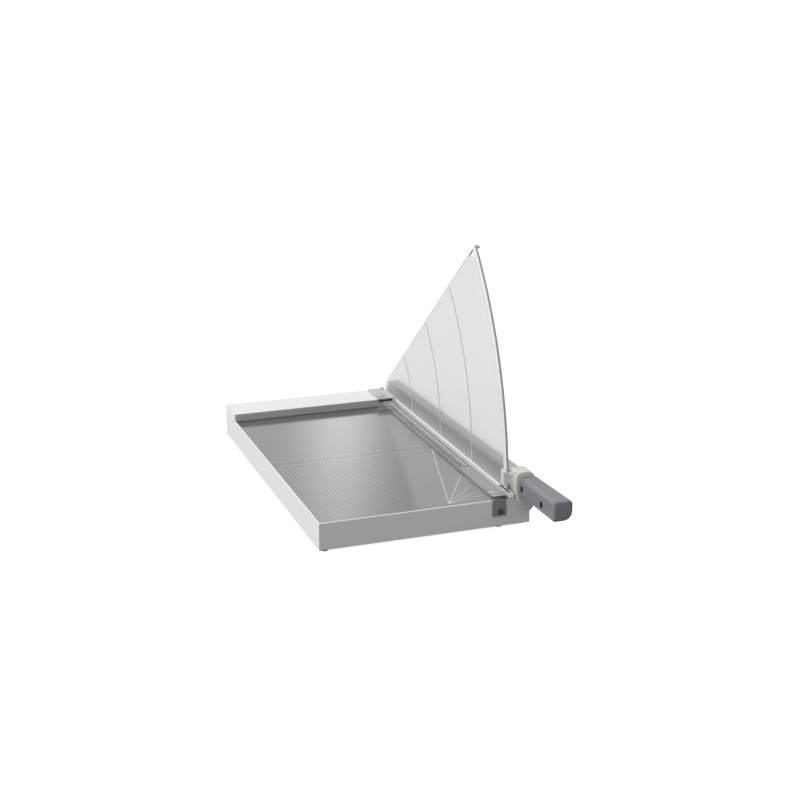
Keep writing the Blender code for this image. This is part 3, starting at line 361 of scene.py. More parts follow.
# ---------------------------------------------------------------------------
# Clear materials
# ---------------------------------------------------------------------------
def guard_material():
    """Frosted sheet: a grey tint that softens what lies a hand's breadth behind it."""
    material, net = new_material("frosted_guard")
    point = net.coords()
    mottle = net.noise(point, scale=700.0, detail=3.0)
    streak = net.noise(net.stretch(point, 1.0, 1.0, 0.3), scale=12.0)
    height = net.smooth(net.xyz(point)[2], lo=0.08, hi=0.33)
    tint = net.mix(streak, (0.860, 0.864, 0.864), (0.874, 0.878, 0.878))
    tint = net.mix(height, tint, (0.872, 0.875, 0.875))
    frost = net.node("ShaderNodeBsdfRefraction", {
        "Color": tint, "Roughness": net.mix_value(mottle, 0.14, 0.16), "IOR": 1.25},
        distribution="GGX")
    clear = net.transparent(tint)
    gloss = net.node("ShaderNodeBsdfAnisotropic", {"Color": (0.9, 0.9, 0.9), "Roughness": 0.35})
    fresnel = net.fresnel(ior=1.35)
    haze = net.node("ShaderNodeBsdfDiffuse", {"Color": (0.75, 0.76, 0.76)})
    rays = net.add("ShaderNodeLightPath").outputs
    # hazier near the foot
    haze_share = net.smooth(net.xyz(point)[2], lo=0.047, hi=0.080, start=0.32, end=0.18)
    sheet = net.mix_shader(haze_share, frost, haze)
    # glows white where other faces mirror it directly: a painted reflection of the sheet lit from
    # the left
    untransmitted = net.math("LESS_THAN", rays["Transmission Depth"], 0.5)
    mirrored = net.times(rays["Is Glossy Ray"], untransmitted)
    glow_share, gloss_share = 0.8, 0.5
    sheet = net.mix_shader(net.times(mirrored, glow_share), sheet, net.white_glow(1.42))
    # only the outer faces reflect
    inner = net.node("ShaderNodeNewGeometry", out="Backfacing")
    reflect = net.times(net.mix_value(inner, fresnel, 0.0), gloss_share)
    sheet = net.mix_shader(reflect, sheet, gloss)
    # shadow and diffuse rays pass straight through
    through = net.larger(rays["Is Shadow Ray"], rays["Is Diffuse Ray"])
    net.finish(net.mix_shader(through, sheet, clear))
    return material


def dense_front(net, point, solid, cover, dense_to):
    """Denser beside the finger plate, where the wall is deep; returns shader and cover."""
    _, y, z = net.xyz(point)
    y = net.math("MULTIPLY_ADD", y, PER_METRE, ORIGIN_Y)
    dense = net.smooth(y, lo=dense_to + 1.0, hi=dense_to - 1.0)
    most = 0.85
    cover = net.larger(cover, net.times(dense, most))
    rise = net.smooth(net.math("MULTIPLY_ADD", z, PER_METRE, -ORIGIN_Z), lo=0.0, hi=5.2)
    # painted shade and highlight: the wall darkens towards the table and lightens towards its top
    # edge
    wall = net.mix(rise, (0.22, 0.225, 0.23), (0.42, 0.425, 0.43))
    dull = net.principled(wall, rough=0.35, spec=0.3)
    return net.mix_shader(dense, solid, dull), cover


def clear_plastic(name, tint, rough, opacity, body, sheen, edge, dense_to=None, ridges=0.0):
    """Clear moulding: mostly see-through, with grey body colour, gloss and hairline scratches.

    edge is the strength of the painted highlight on the edges, dense_to the Y in front of which
    the moulding is denser and ridges the pitch of ridges across X, both in millimetres.
    """
    material, net = new_material(name)
    point = net.coords()
    scratch = net.noise(net.stretch(point, 1.0, 0.05, 1.0), scale=900.0, detail=3.0)
    cloud = net.noise(point, scale=60.0)
    clear = net.transparent(net.mix(cloud, scaled(tint, 0.94), tint))
    # painted highlight: the edges turn light and more solid
    worn_and_highlit_edges = net.times(net.edge_mask(radius=0.0005), edge) if edge else 0.0
    tone = toned(net, cloud, body, low=0.85, high=1.1)
    normal = net.bump(scratch, strength=0.1, distance=0.00001)
    if ridges:
        across = net.times(net.xyz(point)[0], PER_METRE)
        wave = net.times(net.math("PINGPONG", across, ridges / 2), 2.0 / ridges)
        # painted shade and highlight: the ridges are lighter on their crests and darker in their
        # grooves, on top of the bump
        tone = toned(net, wave, body, low=0.80, high=1.12)
        normal = net.bump(wave, strength=0.4, distance=0.0002, normal=normal)
    solid = net.principled(net.mix(worn_and_highlit_edges, tone, (0.9, 0.91, 0.91)),
                           net.ramp(scratch, span=0.10, start=rough), normal=normal, spec=0.6)
    reflect = net.times(net.fresnel(ior=1.5), sheen)
    cover = net.math("ADD", reflect, opacity, clamp=True)
    cover = net.larger(cover, worn_and_highlit_edges)
    if dense_to is not None:
        solid, cover = dense_front(net, point, solid, cover, dense_to)
    # light reaches what lies beneath almost undimmed
    shadow_relief = 0.85
    shadow = net.node("ShaderNodeLightPath", out="Is Shadow Ray")
    cover = net.times(cover, net.minus(1.0, net.times(shadow, shadow_relief)))
    # inner faces neither mirror nor tint: the ray is not bent, so it would never leave
    inner = net.node("ShaderNodeNewGeometry", out="Backfacing")
    cover = net.mix_value(inner, cover, 0.0)
    net.finish(net.mix_shader(cover, clear, solid))
    return material


def rib_material():
    material, net = new_material("guard_rib")
    point = net.coords()
    clear = net.transparent((0.93, 0.93, 0.93))
    tint = net.mix(net.noise(point, scale=200.0), (0.80, 0.81, 0.81), (0.86, 0.87, 0.87))
    solid = net.principled(tint, rough=0.3)
    solid_share = 0.6
    net.finish(net.mix_shader(solid_share, clear, solid))
    return material


GROUND = {"along": (1.0, 0.012, 1.0), "lines": 2600.0, "tone": 0.15}      # ground along Y
FINE = {"grain": 900.0, "depth": 0.00001}
FINISH = {
    # painted highlight: the housing's edges, the rim above all, are lightened nearly to white
    "housing": moulded("housing_light_grey", (0.76, 0.775, 0.77), rough=0.42, grain=1300.0,
                       depth=0.000025, tone=0.02, worn_and_highlit=1.0, worn_and_highlit_color=(0.99, 0.99, 0.99)),
    "cover": moulded("cover_dark_grey", (0.055, 0.058, 0.062), rough=0.6, grain=700.0,
                     depth=0.00004, worn_and_highlit=0.6),
    "rubber": moulded("foot_rubber", (0.012, 0.012, 0.012), rough=0.8, grain=500.0,
                      depth=0.00006, spec=0.3, tone=0.2),
    "rule": moulded("rule_dark_grey", (0.46, 0.465, 0.47), rough=0.4, grain=1300.0),
    "black": moulded("black_plastic", (0.012, 0.012, 0.013), rough=0.4, grain=900.0,
                     depth=0.00003, worn_and_highlit=0.5),
    "nylon": moulded("nylon", (0.70, 0.67, 0.58), rough=0.5, grain=500.0, depth=0.00003),
    "arm": moulded("arm_paint", (0.45, 0.46, 0.457), rough=0.38, grain=900.0, tone=0.025,
                   worn_and_highlit=0.6, worn_and_highlit_color=(0.8, 0.8, 0.8)),
    "collar": moulded("collar_off_white", (0.67, 0.67, 0.64), rough=0.42, grain=1000.0,
                      tone=0.02, worn_and_highlit=0.3),
    # painted highlight: the grip's edges are lightened
    "grip": moulded("grip_dark_grey", (0.212, 0.220, 0.234), rough=0.36, grain=1700.0,
                    depth=0.00007, worn_and_highlit=0.8, worn_and_highlit_color=(0.36, 0.37, 0.39)),
    "zinc": metal("zinc_plated", (0.58, 0.58, 0.57), rough=0.34),
    "alu": satin_rail("anodised_rail", (0.96, 0.965, 0.965)),
    "blade": metal("ground_blade_steel", (0.50, 0.505, 0.52), rough=0.36, **GROUND),
    "counter": metal("ground_counter_blade", (0.42, 0.43, 0.44), rough=0.28, **GROUND),
    "table": table_material(),
    "guard": guard_material(),
    "clear": clear_plastic("clear_strip", (0.975, 0.978, 0.98), rough=0.10, opacity=0.06,
                           body=(0.66, 0.67, 0.67), sheen=0.30, edge=0.0, dense_to=117.0),
    "rear": clear_plastic("clear_rear_bracket", (0.92, 0.93, 0.93), rough=0.16, opacity=0.62,
                          body=(0.58, 0.59, 0.59), sheen=0.4, edge=0.8, ridges=2.4),
    "bracket": clear_plastic("clear_bracket", (0.86, 0.865, 0.87), rough=0.08, opacity=0.30,
                             body=(0.22, 0.225, 0.23), sheen=0.9, edge=1.0),
    "smoked": clear_plastic("smoked_plate", (0.4, 0.4, 0.41), rough=0.16, opacity=0.75,
                            body=(0.305, 0.31, 0.315), sheen=0.4, edge=0.35),
    "screw_dark": metal("dark_screw", (0.07, 0.07, 0.075), rough=0.35),
    "rim": moulded("guard_rim_grey", (0.42, 0.43, 0.44), rough=0.4, grain=900.0, worn_and_highlit=0.3),
    "flank": moulded("guard_rim_flank", (0.90, 0.91, 0.91), rough=0.35, grain=900.0,
                     tone=0.04, worn_and_highlit=0.2),
    "rib": rib_material(),
    # light finish over the strip's clear beads: a painted highlight
    "bead": moulded("clear_bead_painted_highlight", (0.52, 0.53, 0.535), rough=0.3, tone=0.06, **FINE),
    # light finish for the strip's edges and the rail's flange: painted highlight and light over
    # the shaded gap
    "lip": moulded("clear_lip_painted_light", (0.40, 0.405, 0.41), rough=0.3, tone=0.06, **FINE),
    "glint": moulded("clear_glint", (0.88, 0.89, 0.89), rough=0.3, tone=0.03, **FINE),
    # black bars of painted shade where openings lie in shadow
    "painted_shade": moulded("dark_painted_shade", (0.008, 0.008, 0.009), rough=0.7, grain=500.0, spec=0.2),
}


# ---------------------------------------------------------------------------
# Geometry helpers
# ---------------------------------------------------------------------------
def new_object(name, bm, material=None, outward=True):
    """Turns a bmesh into a linked object, its normals facing outward if asked."""
    if outward:
        bmesh.ops.recalc_face_normals(bm, faces=bm.faces)
    mesh = bpy.data.meshes.new(name)
    bm.to_mesh(mesh)
    bm.free()
    ob = bpy.data.objects.new(name, mesh)
    bpy.context.scene.collection.objects.link(ob)
    if material is not None:
        mesh.materials.append(material)
    return ob


def welded(node):
    """The node's own mesh with its seams joined."""
    bm = bmesh.new()
    bm.from_mesh(NODES[node].data)
    bmesh.ops.remove_doubles(bm, verts=bm.verts, dist=2e-6)
    return bm


def repaint(mesh, material):
    mesh.materials.clear()
    mesh.materials.append(material)


def bake(ob):
    """Replaces the mesh by its evaluated form and drops the modifiers."""
    bpy.context.view_layer.update()
    graph = bpy.context.evaluated_depsgraph_get()
    mesh = bpy.data.meshes.new_from_object(ob.evaluated_get(graph), depsgraph=graph,
                                           preserve_all_data_layers=True)
    ob.modifiers.clear()
    ob.data = mesh


def bevel(ob, width, limit, miter="MITER_SHARP"):
    mod = ob.modifiers.new("Bevel", "BEVEL")
    mod.width = width * MM
    mod.segments = 2
    mod.limit_method = "ANGLE"
    mod.angle_limit = math.radians(limit)
    mod.miter_outer = miter
    bake(ob)


def smooth_by_angle(mesh, degrees):
    for poly in mesh.polygons:
        poly.use_smooth = True
    mesh.set_sharp_from_angle(angle=math.radians(degrees))


def flat_normals(ob):
    """Large faces keep their own normal, so that bevels carry all of the turn."""
    mod = ob.modifiers.new("Weighted", "WEIGHTED_NORMAL")
    mod.mode = "FACE_AREA"
    mod.weight = 80
    mod.keep_sharp = True
    bake(ob)


def set_piece(ob, node):
    """The object takes the node's place and body, and the node is hidden."""
    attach(ob, body_of(NODES[node])[0])
    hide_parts(node)


def loft(name, rings, material):
    """A closed skin over rings of equal point count, capped at both ends."""
    bm = bmesh.new()
    rows = [[bm.verts.new(place(*point)) for point in ring] for ring in rings]
    count = len(rows[0])
    for row, after in zip(rows, rows[1:]):
        for i in range(count):
            j = (i + 1) % count
            bm.faces.new((row[i], row[j], after[j], after[i]))
    bm.faces.new(rows[0])
    bm.faces.new(rows[-1])
    return new_object(name, bm, material)


# ---------------------------------------------------------------------------
# Every node gets its finish
# ---------------------------------------------------------------------------
LOOK = {
    "base_housing": "housing", "bottom_cover": "cover", "table_plate": "table",
    "back_stop_rule": "rule", "counter_blade": "counter", "guard_rail": "alu",
    "rail_end_cap": "alu", "rail_clip": "black", "guard_sheet": "guard", "guard_rim": "rim",
    "front_clamp_bracket": "bracket", "front_bracket_screw": "screw_dark",
    "rear_clamp_bracket": "rear", "clamp_strip": "clear", "clamp_finger_plate": "smoked",
    "arm_washer": "nylon", "blade_arm": "arm", "cutting_blade": "blade",
    "blade_heel_plate": "black", "handle_collar": "collar", "handle_shell_left": "grip",
    "handle_shell_right": "grip", "handle_screw_1": "screw_dark",
    "handle_screw_2": "screw_dark",
}


def look_of(node):
    """The feet are rubber; whatever else is not listed is zinc plated."""
    if node in LOOK:
        return LOOK[node]
    return "rubber" if node.startswith("foot_") and "screw" not in node else "zinc"


for node in NODES:
    repaint(NODES[node].data, FINISH[look_of(node)])

# Nodes that keep their form but have their edges broken: bevel width
BROKEN_EDGES = {
    "base_housing": 0.2, "table_plate": 0.2, "back_stop_rule": 0.2, "guard_rail": 0.2,
    "rail_end_cap": 0.2, "rail_clip": 0.12, "blade_arm": 0.2, "cutting_blade": 0.0,
    "clamp_strip": 0.12, "clamp_finger_plate": 0.12, "front_clamp_bracket": 0.2,
    "rear_clamp_bracket": 0.12,
}
# The gloss table mirrors only what is tall
NOT_MIRRORED = ("back_stop_rule", "clamp_strip", "clamp_finger_plate")


def finished(node, width):
    """The node's own form with its edges broken and its round faces smooth."""
    bm = welded(node)
    bmesh.ops.dissolve_limit(bm, angle_limit=math.radians(0.6), verts=bm.verts, edges=bm.edges)
    ob = new_object(node + "_finished", bm, FINISH[LOOK[node]])
    if width:
        bevel(ob, width, limit=40.0, miter="MITER_ARC")
    smooth_by_angle(ob.data, 35)
    flat_normals(ob)
    set_piece(ob, node)
    return ob


for node, width in BROKEN_EDGES.items():
    piece = finished(node, width)
    if node in NOT_MIRRORED:
        piece.visible_glossy = False


# ---------------------------------------------------------------------------
# Grip: two half shells lofted along their length
# ---------------------------------------------------------------------------
def outline(x0, x1, z0, z1, radii, inset):
    """Rounded outline in X and Z with superelliptic corners.

    Runs counter-clockwise from the lower left, seen from the front.
    """
    points = []
    power = 2.0 / 2.25
    corners = ((x0, z0, 180), (x1, z0, 270), (x1, z1, 0), (x0, z1, 90))
    for (corner_x, corner_z, start), full_radius in zip(corners, radii):
        radius = max(full_radius - inset, 0.35)
        side_x = 1 if corner_x == x0 else -1
        side_z = 1 if corner_z == z0 else -1
        mid_x = corner_x + side_x * (inset + radius)
        mid_z = corner_z + side_z * (inset + radius)
        for i in range(CORNER_STEPS + 1):
            angle = math.radians(start + 90.0 * i / CORNER_STEPS)
            cosine, sine = math.cos(angle), math.sin(angle)
            points.append((mid_x + radius * math.copysign(abs(cosine) ** power, cosine),
                           mid_z + radius * math.copysign(abs(sine) ** power, sine)))
    return points


def grip_ring(y, inset):
    """The grip's section: towards the back it is smaller, lower and rounder."""
    front = min(max((y - GRIP_BACK) / (GRIP_FRONT - GRIP_BACK), 0.0), 1.0)
    back = 1.0 - front
    scale_x = 0.96 + 0.04 * front
    scale_z = 0.93 + 0.07 * front
    drop = 1.4 * back
    radii = (3.2 + 0.6 * back, 12.5, 6.5 + 1.5 * back, 4.6 + 2.6 * back)
    return [((x - GRIP_MID_X) * scale_x + GRIP_MID_X, y,
             (z - GRIP_MID_Z) * scale_z + GRIP_MID_Z - drop)
            for x, z in outline(GRIP_LEFT, GRIP_RIGHT, GRIP_BOTTOM, GRIP_TOP, radii, inset)]


def grip_rings():
    """Rings from the front fillet to the rounded back end."""
    rings = []
    for i in range(GRIP_FILLET_STEPS + 1):
        angle = math.radians(90.0 * i / GRIP_FILLET_STEPS)
        rings.append(grip_ring(GRIP_FRONT + GRIP_FILLET * (1 - math.cos(angle)),
                               GRIP_FILLET * (1 - math.sin(angle))))
    start, end = GRIP_FRONT + GRIP_FILLET, GRIP_BACK - GRIP_BACK_ROUND
    for i in range(1, GRIP_STEPS + 1):
        rings.append(grip_ring(start + (end - start) * i / GRIP_STEPS, 0.0))
    rings.append(grip_ring(GRIP_BACK - GRIP_BACK_BREAK, GRIP_BACK_BREAK))
    rings.append(grip_ring(GRIP_BACK, GRIP_BACK_ROUND))
    return rings


def cylinder_x(name, y, z, x0, x1, radius, segments):
    """A cylinder along X."""
    bm = bmesh.new()
    bmesh.ops.create_cone(bm, cap_ends=True, segments=segments, radius1=radius * MM,
                          radius2=radius * MM, depth=(x1 - x0) * MM)
    bmesh.ops.rotate(bm, verts=bm.verts, cent=(0, 0, 0),
                     matrix=Matrix.Rotation(math.radians(90), 3, "Y"))
    ob = new_object(name, bm, outward=False)
    ob.location = place((x0 + x1) / 2, y, z)
    return ob


def in_recess(mesh, poly):
    corners = [mesh.vertices[i].co for i in poly.vertices]
    reach = RECESS_RADIUS + 0.05
    return any(all(math.hypot(corner.y / MM + ORIGIN_Y - y, corner.z / MM - ORIGIN_Z - z) < reach
                   for corner in corners)
               for y, z in RECESSES)


def cut_recesses(ob):
    """Round screw recesses from the left, their walls black as painted shade."""
    for k, (y, z) in enumerate(RECESSES):
        cutter = cylinder_x("grip_recess_cutter_%d" % k, y, z, RECESS_START, RECESS_FLOOR,
                            RECESS_RADIUS, 40)
        mod = ob.modifiers.new("Recess", "BOOLEAN")
        mod.operation = "DIFFERENCE"
        mod.object = cutter
        bake(ob)
        bpy.data.objects.remove(cutter)
    # painted shade: the recess walls take the black finish
    ob.data.materials.append(FINISH["black"])
    for poly in ob.data.polygons:
        if in_recess(ob.data, poly):
            poly.material_index = 1


def grip_shell(node, keep_left):
    """The lofted grip cut at the parting plane and closed there."""
    ob = loft(node + "_finished", grip_rings(), FINISH["grip"])
    away = 1 if keep_left else -1
    bm = bmesh.new()
    bm.from_mesh(ob.data)
    bmesh.ops.bisect_plane(bm, geom=bm.verts[:] + bm.edges[:] + bm.faces[:],
                           plane_co=place(GRIP_SPLIT - away * GRIP_GAP / 2, 0, 0),
                           plane_no=(away, 0, 0), clear_outer=True)
    bmesh.ops.holes_fill(bm, edges=[edge for edge in bm.edges if edge.is_boundary], sides=0)
    bmesh.ops.recalc_face_normals(bm, faces=bm.faces)
    bm.to_mesh(ob.data)
    bm.free()
    if keep_left:
        cut_recesses(ob)
    smooth_by_angle(ob.data, 42)
    set_piece(ob, node)


grip_shell("handle_shell_left", keep_left=True)
grip_shell("handle_shell_right", keep_left=False)


def relaxed(node, material, voxel, rounds, factor):
    """The node's form remeshed finely and relaxed, like a moulding with fillets."""
    ob = new_object(node + "_finished", welded(node), material)
    remesh = ob.modifiers.new("Remesh", "REMESH")
    remesh.mode = "VOXEL"
    remesh.voxel_size = voxel * MM
    remesh.use_smooth_shade = True
    relax = ob.modifiers.new("Relax", "SMOOTH")
    relax.factor = factor
    relax.iterations = rounds
    bake(ob)
    repaint(ob.data, material)
    for poly in ob.data.polygons:
        poly.use_smooth = True
    set_piece(ob, node)


relaxed("handle_collar", FINISH["collar"], voxel=0.45, rounds=5, factor=0.5)


# ---------------------------------------------------------------------------
# Guard: sheet, ribs and edge strip on fine arcs
# ---------------------------------------------------------------------------
def polar(radius, degrees):
    """Y and Z of a point round the pivot; the angle rises from the front."""
    angle = math.radians(degrees)
    return PIVOT_Y - radius * math.cos(angle), PIVOT_Z + radius * math.sin(angle)


def angle_at(z, radius):
    return math.degrees(math.asin((z - PIVOT_Z) / radius))


def slope_z(y):
    """Height of the sloping top edge."""
    return SLOPE_Z + (PIVOT_Y - y) * math.tan(SLOPE)


def slab(name, points, thick, material):
    """A flat outline in Y and Z, given a thickness about the guard's middle plane."""
    bm = bmesh.new()
    face = bm.faces.new([bm.verts.new(place(GUARD_X - thick / 2, y, z)) for y, z in points])
    grown = bmesh.ops.extrude_face_region(bm, geom=[face])["geom"]
    bmesh.ops.translate(bm, vec=(thick * MM, 0, 0),
                        verts=[part for part in grown if isinstance(part, bmesh.types.BMVert)])
    ob = new_object(name, bm, material)
    bevel(ob, 0.25, limit=50)
    smooth_by_angle(ob.data, 32)
    flat_normals(ob)
    return ob


def sweep(name, profile, start, end, steps, material, degrees):
    """A closed profile (radius, X) carried round the pivot axis."""
    rings = []
    for i in range(steps + 1):
        angle = start + (end - start) * i / steps
        rings.append([(x,) + polar(radius, angle) for radius, x in profile])
    ob = loft(name, rings, material)
    smooth_by_angle(ob.data, degrees)
    return ob


SHEET_BACK_Y = 481.3
# Rounded upper back corner of the sheet: Y, drop below the slope
BACK_CORNER = ((478.9, 0.0), (480.2, 0.9), (481.0, 2.4), (SHEET_BACK_Y, 5.0))


def guard_sheet():
    steps = 120
    start = angle_at(GUARD_FOOT_Z, GUARD_RADIUS)
    points = [polar(GUARD_RADIUS, start + (ARC_TOP_ANGLE - start) * i / steps)
              for i in range(steps + 1)]
    # upper front corner, a little rounded, 4 mm above the arc's end at most
    corner_y = PIVOT_Y - (points[-1][1] - 4.0 - SLOPE_Z) / math.tan(SLOPE)
    corner_z = slope_z(corner_y)
    points += [(corner_y - 3.0, corner_z + 0.5), (corner_y - 0.6, corner_z + 0.05),
               (corner_y + 1.6, slope_z(corner_y + 1.6))]
    points += [(y, slope_z(y) - drop) for y, drop in BACK_CORNER]
    points.append((SHEET_BACK_Y, GUARD_FOOT_Z))
    sheet = slab("guard_sheet_finished", points, GUARD_THICK, FINISH["guard"])
    set_piece(sheet, "guard_sheet")


def guard_ribs():
    """Three thin arcs on either side, ending 2 mm short of the sloping edge."""
    foot_z, end_gap = 8.6, 2.0
    half_foot, half_crest = 0.8, 0.35
    lift, crest, shoulder = 0.02, 0.48, 0.08      # heights over the sheet; fall from the crest
    slope_distance = (SLOPE_Z - PIVOT_Z) * math.cos(SLOPE)
    for k, fraction in enumerate((0.25, 0.5, 0.75)):
        radius = fraction * 463.6
        end = (math.degrees(SLOPE + math.asin(slope_distance / radius))
               - math.degrees(end_gap / radius))
        for side, sign in (("left", -1), ("right", 1)):
            foot_x = GUARD_X + sign * (GUARD_THICK / 2 + lift)
            crest_x = GUARD_X + sign * (GUARD_THICK / 2 + crest)
            shoulder_x = crest_x - sign * shoulder
            profile = [(radius - half_foot, foot_x), (radius - half_crest, shoulder_x),
                       (radius, crest_x), (radius + half_crest, shoulder_x),
                       (radius + half_foot, foot_x)]
            rib = sweep("guard_rib_%d_%s" % (k + 1, side), profile, angle_at(foot_z, radius),
                        end, 60, FINISH["rib"], degrees=80)
            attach(rib, "base")


def guard_rim():
    """Edge strip: a rounded channel that holds the sheet's arc."""
    wide = RIM_WIDTH / 2
    slot = GUARD_THICK / 2 + 0.25
    slot_floor = GUARD_RADIUS + 0.3
    # radius, distance from the middle plane, from the slot round to the outer edge
    half = [(RIM_INNER, slot), (RIM_INNER, wide - 0.3), (RIM_INNER + 0.3, wide),
            (RIM_OUTER - 0.8, wide), (RIM_OUTER - 0.24, wide - 0.24), (RIM_OUTER, wide - 0.8)]
    profile = [(radius, GUARD_X - away) for radius, away in half]
    profile += [(radius, GUARD_X + away) for radius, away in reversed(half)]
    profile += [(slot_floor, GUARD_X + slot), (slot_floor, GUARD_X - slot)]
    rim = sweep("guard_rim_finished", profile, angle_at(RIM_FOOT_Z, RIM_INNER), RIM_TOP_ANGLE,
                120, FINISH["rim"], degrees=50)
    rim.data.materials.append(FINISH["flank"])
    for poly in rim.data.polygons:
        if abs(poly.normal.x) > 0.8:
            poly.material_index = 1
    set_piece(rim, "guard_rim")


def rim_strut():
    """A short bar from the top of the rim down along the sloping edge."""
    top_y, top_z = polar(463.4, RIM_TOP_ANGLE)
    cosine, sine = math.cos(SLOPE), math.sin(SLOPE)
    # distance down the slope from the top, depth square to the slope
    corners = ((-0.5, 0.0), (27.3, 0.0), (24.4, 1.9), (-0.5, 1.9))
    points = [(top_y + along * cosine - depth * sine, top_z - along * sine - depth * cosine)
              for along, depth in corners]
    strut = slab("guard_rim_strut", points, 2.0, FINISH["rim"])
    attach(strut, "base")


guard_sheet()
guard_ribs()
guard_rim()
rim_strut()


# ---------------------------------------------------------------------------
# Small bars: painted highlights on the strip's beads and edge and on the bracket's flange, light
# bars over the shaded gap by the rail, the bracket's facing, and black bars of painted shade in
# two openings
# ---------------------------------------------------------------------------
# name, node it rides with, X range, Y range, Z range, finish, bevel
BARS = (
    # painted highlights: light bars over the clear beads
    ("strip_bead_left", "clamp_strip",
     (236.6, 238.0), (118.6, 423.8), (5.0, 5.94), "bead", 0.3),
    ("strip_bead_right", "clamp_strip",
     (240.6, 242.0), (118.6, 423.8), (5.0, 5.94), "glint", 0.3),
    # painted highlight along the strip's left top edge
    ("strip_left_edge_painted_highlight", "clamp_strip",
     (229.56, 230.1), (17.3, 426.0), (4.9, 5.24), "lip", 0.12),
    # painted light over the shaded gap between the strip and the rail
    ("strip_right_lip_painted_light", "clamp_strip",
     (245.9, 246.8), (17.3, 426.0), (4.7, 5.24), "lip", 0.12),
    # the rail's foot flange, its light finish also painting out the shade in the gap
    ("rail_flange", "guard_rail",
     (247.1, 250.1), (2.0, 432.0), (1.8, 3.2), "lip", 0.1),
    ("front_flange_facing", "front_clamp_bracket",
     (228.3, 246.7), (-1.2, 15.2), (6.5, 6.64), "smoked", 0.05),
    # painted highlight along the flange's front edge
    ("front_flange_glint", "front_clamp_bracket",
     (228.2, 246.8), (-1.75, -1.25), (6.35, 6.68), "glint", 0.1),
    # black bars of painted shade in the bracket's slot and in the opening under it
    ("rear_slot_painted_shade", "rear_clamp_bracket",
     (228.55, 238.45), (437.65, 439.95), (10.35, 11.6), "painted_shade", 0.0),
    ("rear_opening_painted_shade", "base_housing",
     (224.5, 247.0), (433.9, 434.6), (5.6, 9.9), "painted_shade", 0.0),
)


def bar(name, node, x_range, y_range, z_range, finish, width):
    ranges = (x_range, y_range, z_range)
    center = place(*((low + high) / 2 for low, high in ranges))
    size = [(high - low) * MM for low, high in ranges]
    bm = bmesh.new()
    bmesh.ops.create_cube(bm, size=1.0)
    for vert in bm.verts:
        vert.co = Vector([vert.co[i] * size[i] for i in range(3)]) + center
    if width:
        bmesh.ops.bevel(bm, geom=bm.edges[:], offset=width * MM, segments=2, affect="EDGES",
                        profile=0.5)
    ob = new_object(name, bm, FINISH[finish])
    smooth_by_angle(ob.data, 40)
    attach(ob, body_of(NODES[node])[0])


for entry in BARS:
    bar(*entry)


# ---------------------------------------------------------------------------
# Stage: floor, light, camera
# ---------------------------------------------------------------------------
def floor():
    """A pale floor that glows for the camera but lights and mirrors in nothing."""
    material, net = new_material("floor_pale")
    point = net.coords()
    tint = net.mix(net.noise(point, scale=3.0, detail=3.0), (0.22, 0.22, 0.22),
                   (0.23, 0.23, 0.23))
    glow = net.white_glow(0.92)
    matt = net.principled(tint, rough=0.9, spec=0.0)
    net.finish(net.node("ShaderNodeAddShader", {0: matt, 1: glow}))
    bm = bmesh.new()
    bmesh.ops.create_grid(bm, x_segments=1, y_segments=1, size=30.0)
    ob = new_object("floor", bm, material, outward=False)
    ob.visible_diffuse = False
    ob.visible_glossy = False


# Lights and one shade that only glossy rays see, in degrees: azimuth from the back towards
# the right, elevation, their half widths, and strength
HIGHLIGHTS = (
    (17.2, 17.5, 1.5, 6.5, 1.95),
    (8.0, 20.0, 7.0, 30.0, 0.15),
    (11.5, 18.0, 3.0, 30.0, 0.4),
    (24.0, 20.0, 3.5, 25.0, -0.2),
)
DARKEST = 0.02


def gradient(net, direction, level, right, back, up):
    """Light that changes evenly with direction from a middle level."""
    value = level
    for part, gain in zip(direction, (right, back, up)):
        value = net.math("MULTIPLY_ADD", part, gain, value)
    return net.larger(value, DARKEST)


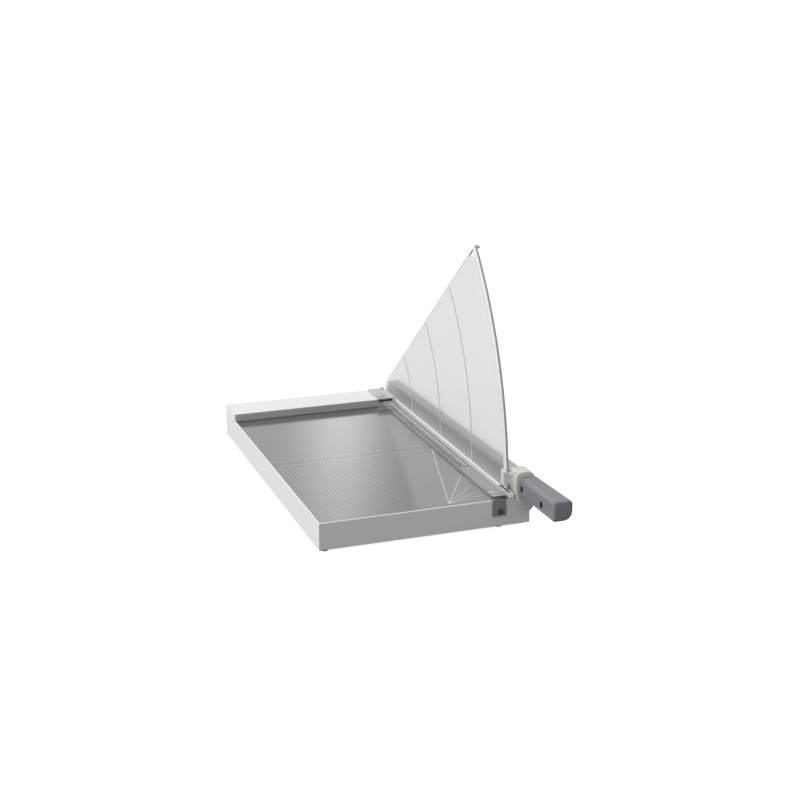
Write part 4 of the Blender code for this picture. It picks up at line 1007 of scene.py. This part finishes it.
def highlight(net, azimuth, elevation, center, widths, strength):
    """A soft elliptical patch of light."""
    squares = []
    for angle, middle, width in zip((azimuth, elevation), center, widths):
        offset = net.minus(angle, math.radians(middle))
        offset = net.math("DIVIDE", offset, math.radians(width))
        squares.append(net.times(offset, offset))
    falloff = net.math("EXPONENT", net.times(net.plus(*squares), -1.0))
    return net.times(falloff, strength)


def world():
    """White to the camera, one gradient for soft light, another with highlights for gloss."""
    studio = bpy.data.worlds.new("studio")
    bpy.context.scene.world = studio
    net = Net(studio, "ShaderNodeOutputWorld")
    direction = net.xyz(net.node("ShaderNodeTexCoord", out="Generated"))
    x, y, z = direction
    soft = gradient(net, direction, level=0.62, right=-0.56, back=0.40, up=0.70)
    azimuth = net.math("ARCTAN2", x, y)
    elevation = net.math("ARCSINE", z)
    gloss = gradient(net, direction, level=0.775, right=-0.45, back=-0.05, up=0.35)
    for at, above, width, height, strength in HIGHLIGHTS:
        patch = highlight(net, azimuth, elevation, (at, above), (width, height), strength)
        gloss = net.plus(gloss, patch)
    gloss = net.larger(gloss, DARKEST)
    rays = net.add("ShaderNodeLightPath").outputs
    value = net.mix_value(rays["Is Glossy Ray"], soft, gloss)
    value = net.mix_value(rays["Is Camera Ray"], value, 1.0)
    grey = net.node("ShaderNodeCombineColor", {0: value, 1: value, 2: value})
    net.finish(net.node("ShaderNodeBackground", {"Color": grey, "Strength": 1.0}))


def camera():
    """In front of the cutter, to its left, looking down at it."""
    data = bpy.data.cameras.new("camera")
    ob = bpy.data.objects.new("camera", data)
    bpy.context.scene.collection.objects.link(ob)
    data.sensor_width = 36.0
    data.lens = 67.7322
    data.shift_y = -0.0875
    data.clip_start = 0.05
    data.clip_end = 100.0
    # the camera's own axes: right, up and backwards
    axes = Matrix(((0.94169603, -0.33645652, -0.00236714),
                   (0.08560873, 0.23279154, 0.96875138),
                   (-0.32539167, -0.91247198, 0.24802248)))
    position = place(-480.7, -1643.2, 680.0)
    ob.matrix_world = Matrix.Translation(position) @ axes.transposed().to_4x4()
    bpy.context.scene.camera = ob


def view():
    settings = bpy.context.scene.view_settings
    settings.view_transform = "Standard"
    settings.look = "None"
    settings.exposure = 0.0
    settings.gamma = 1.0


floor()
world()
camera()
view()
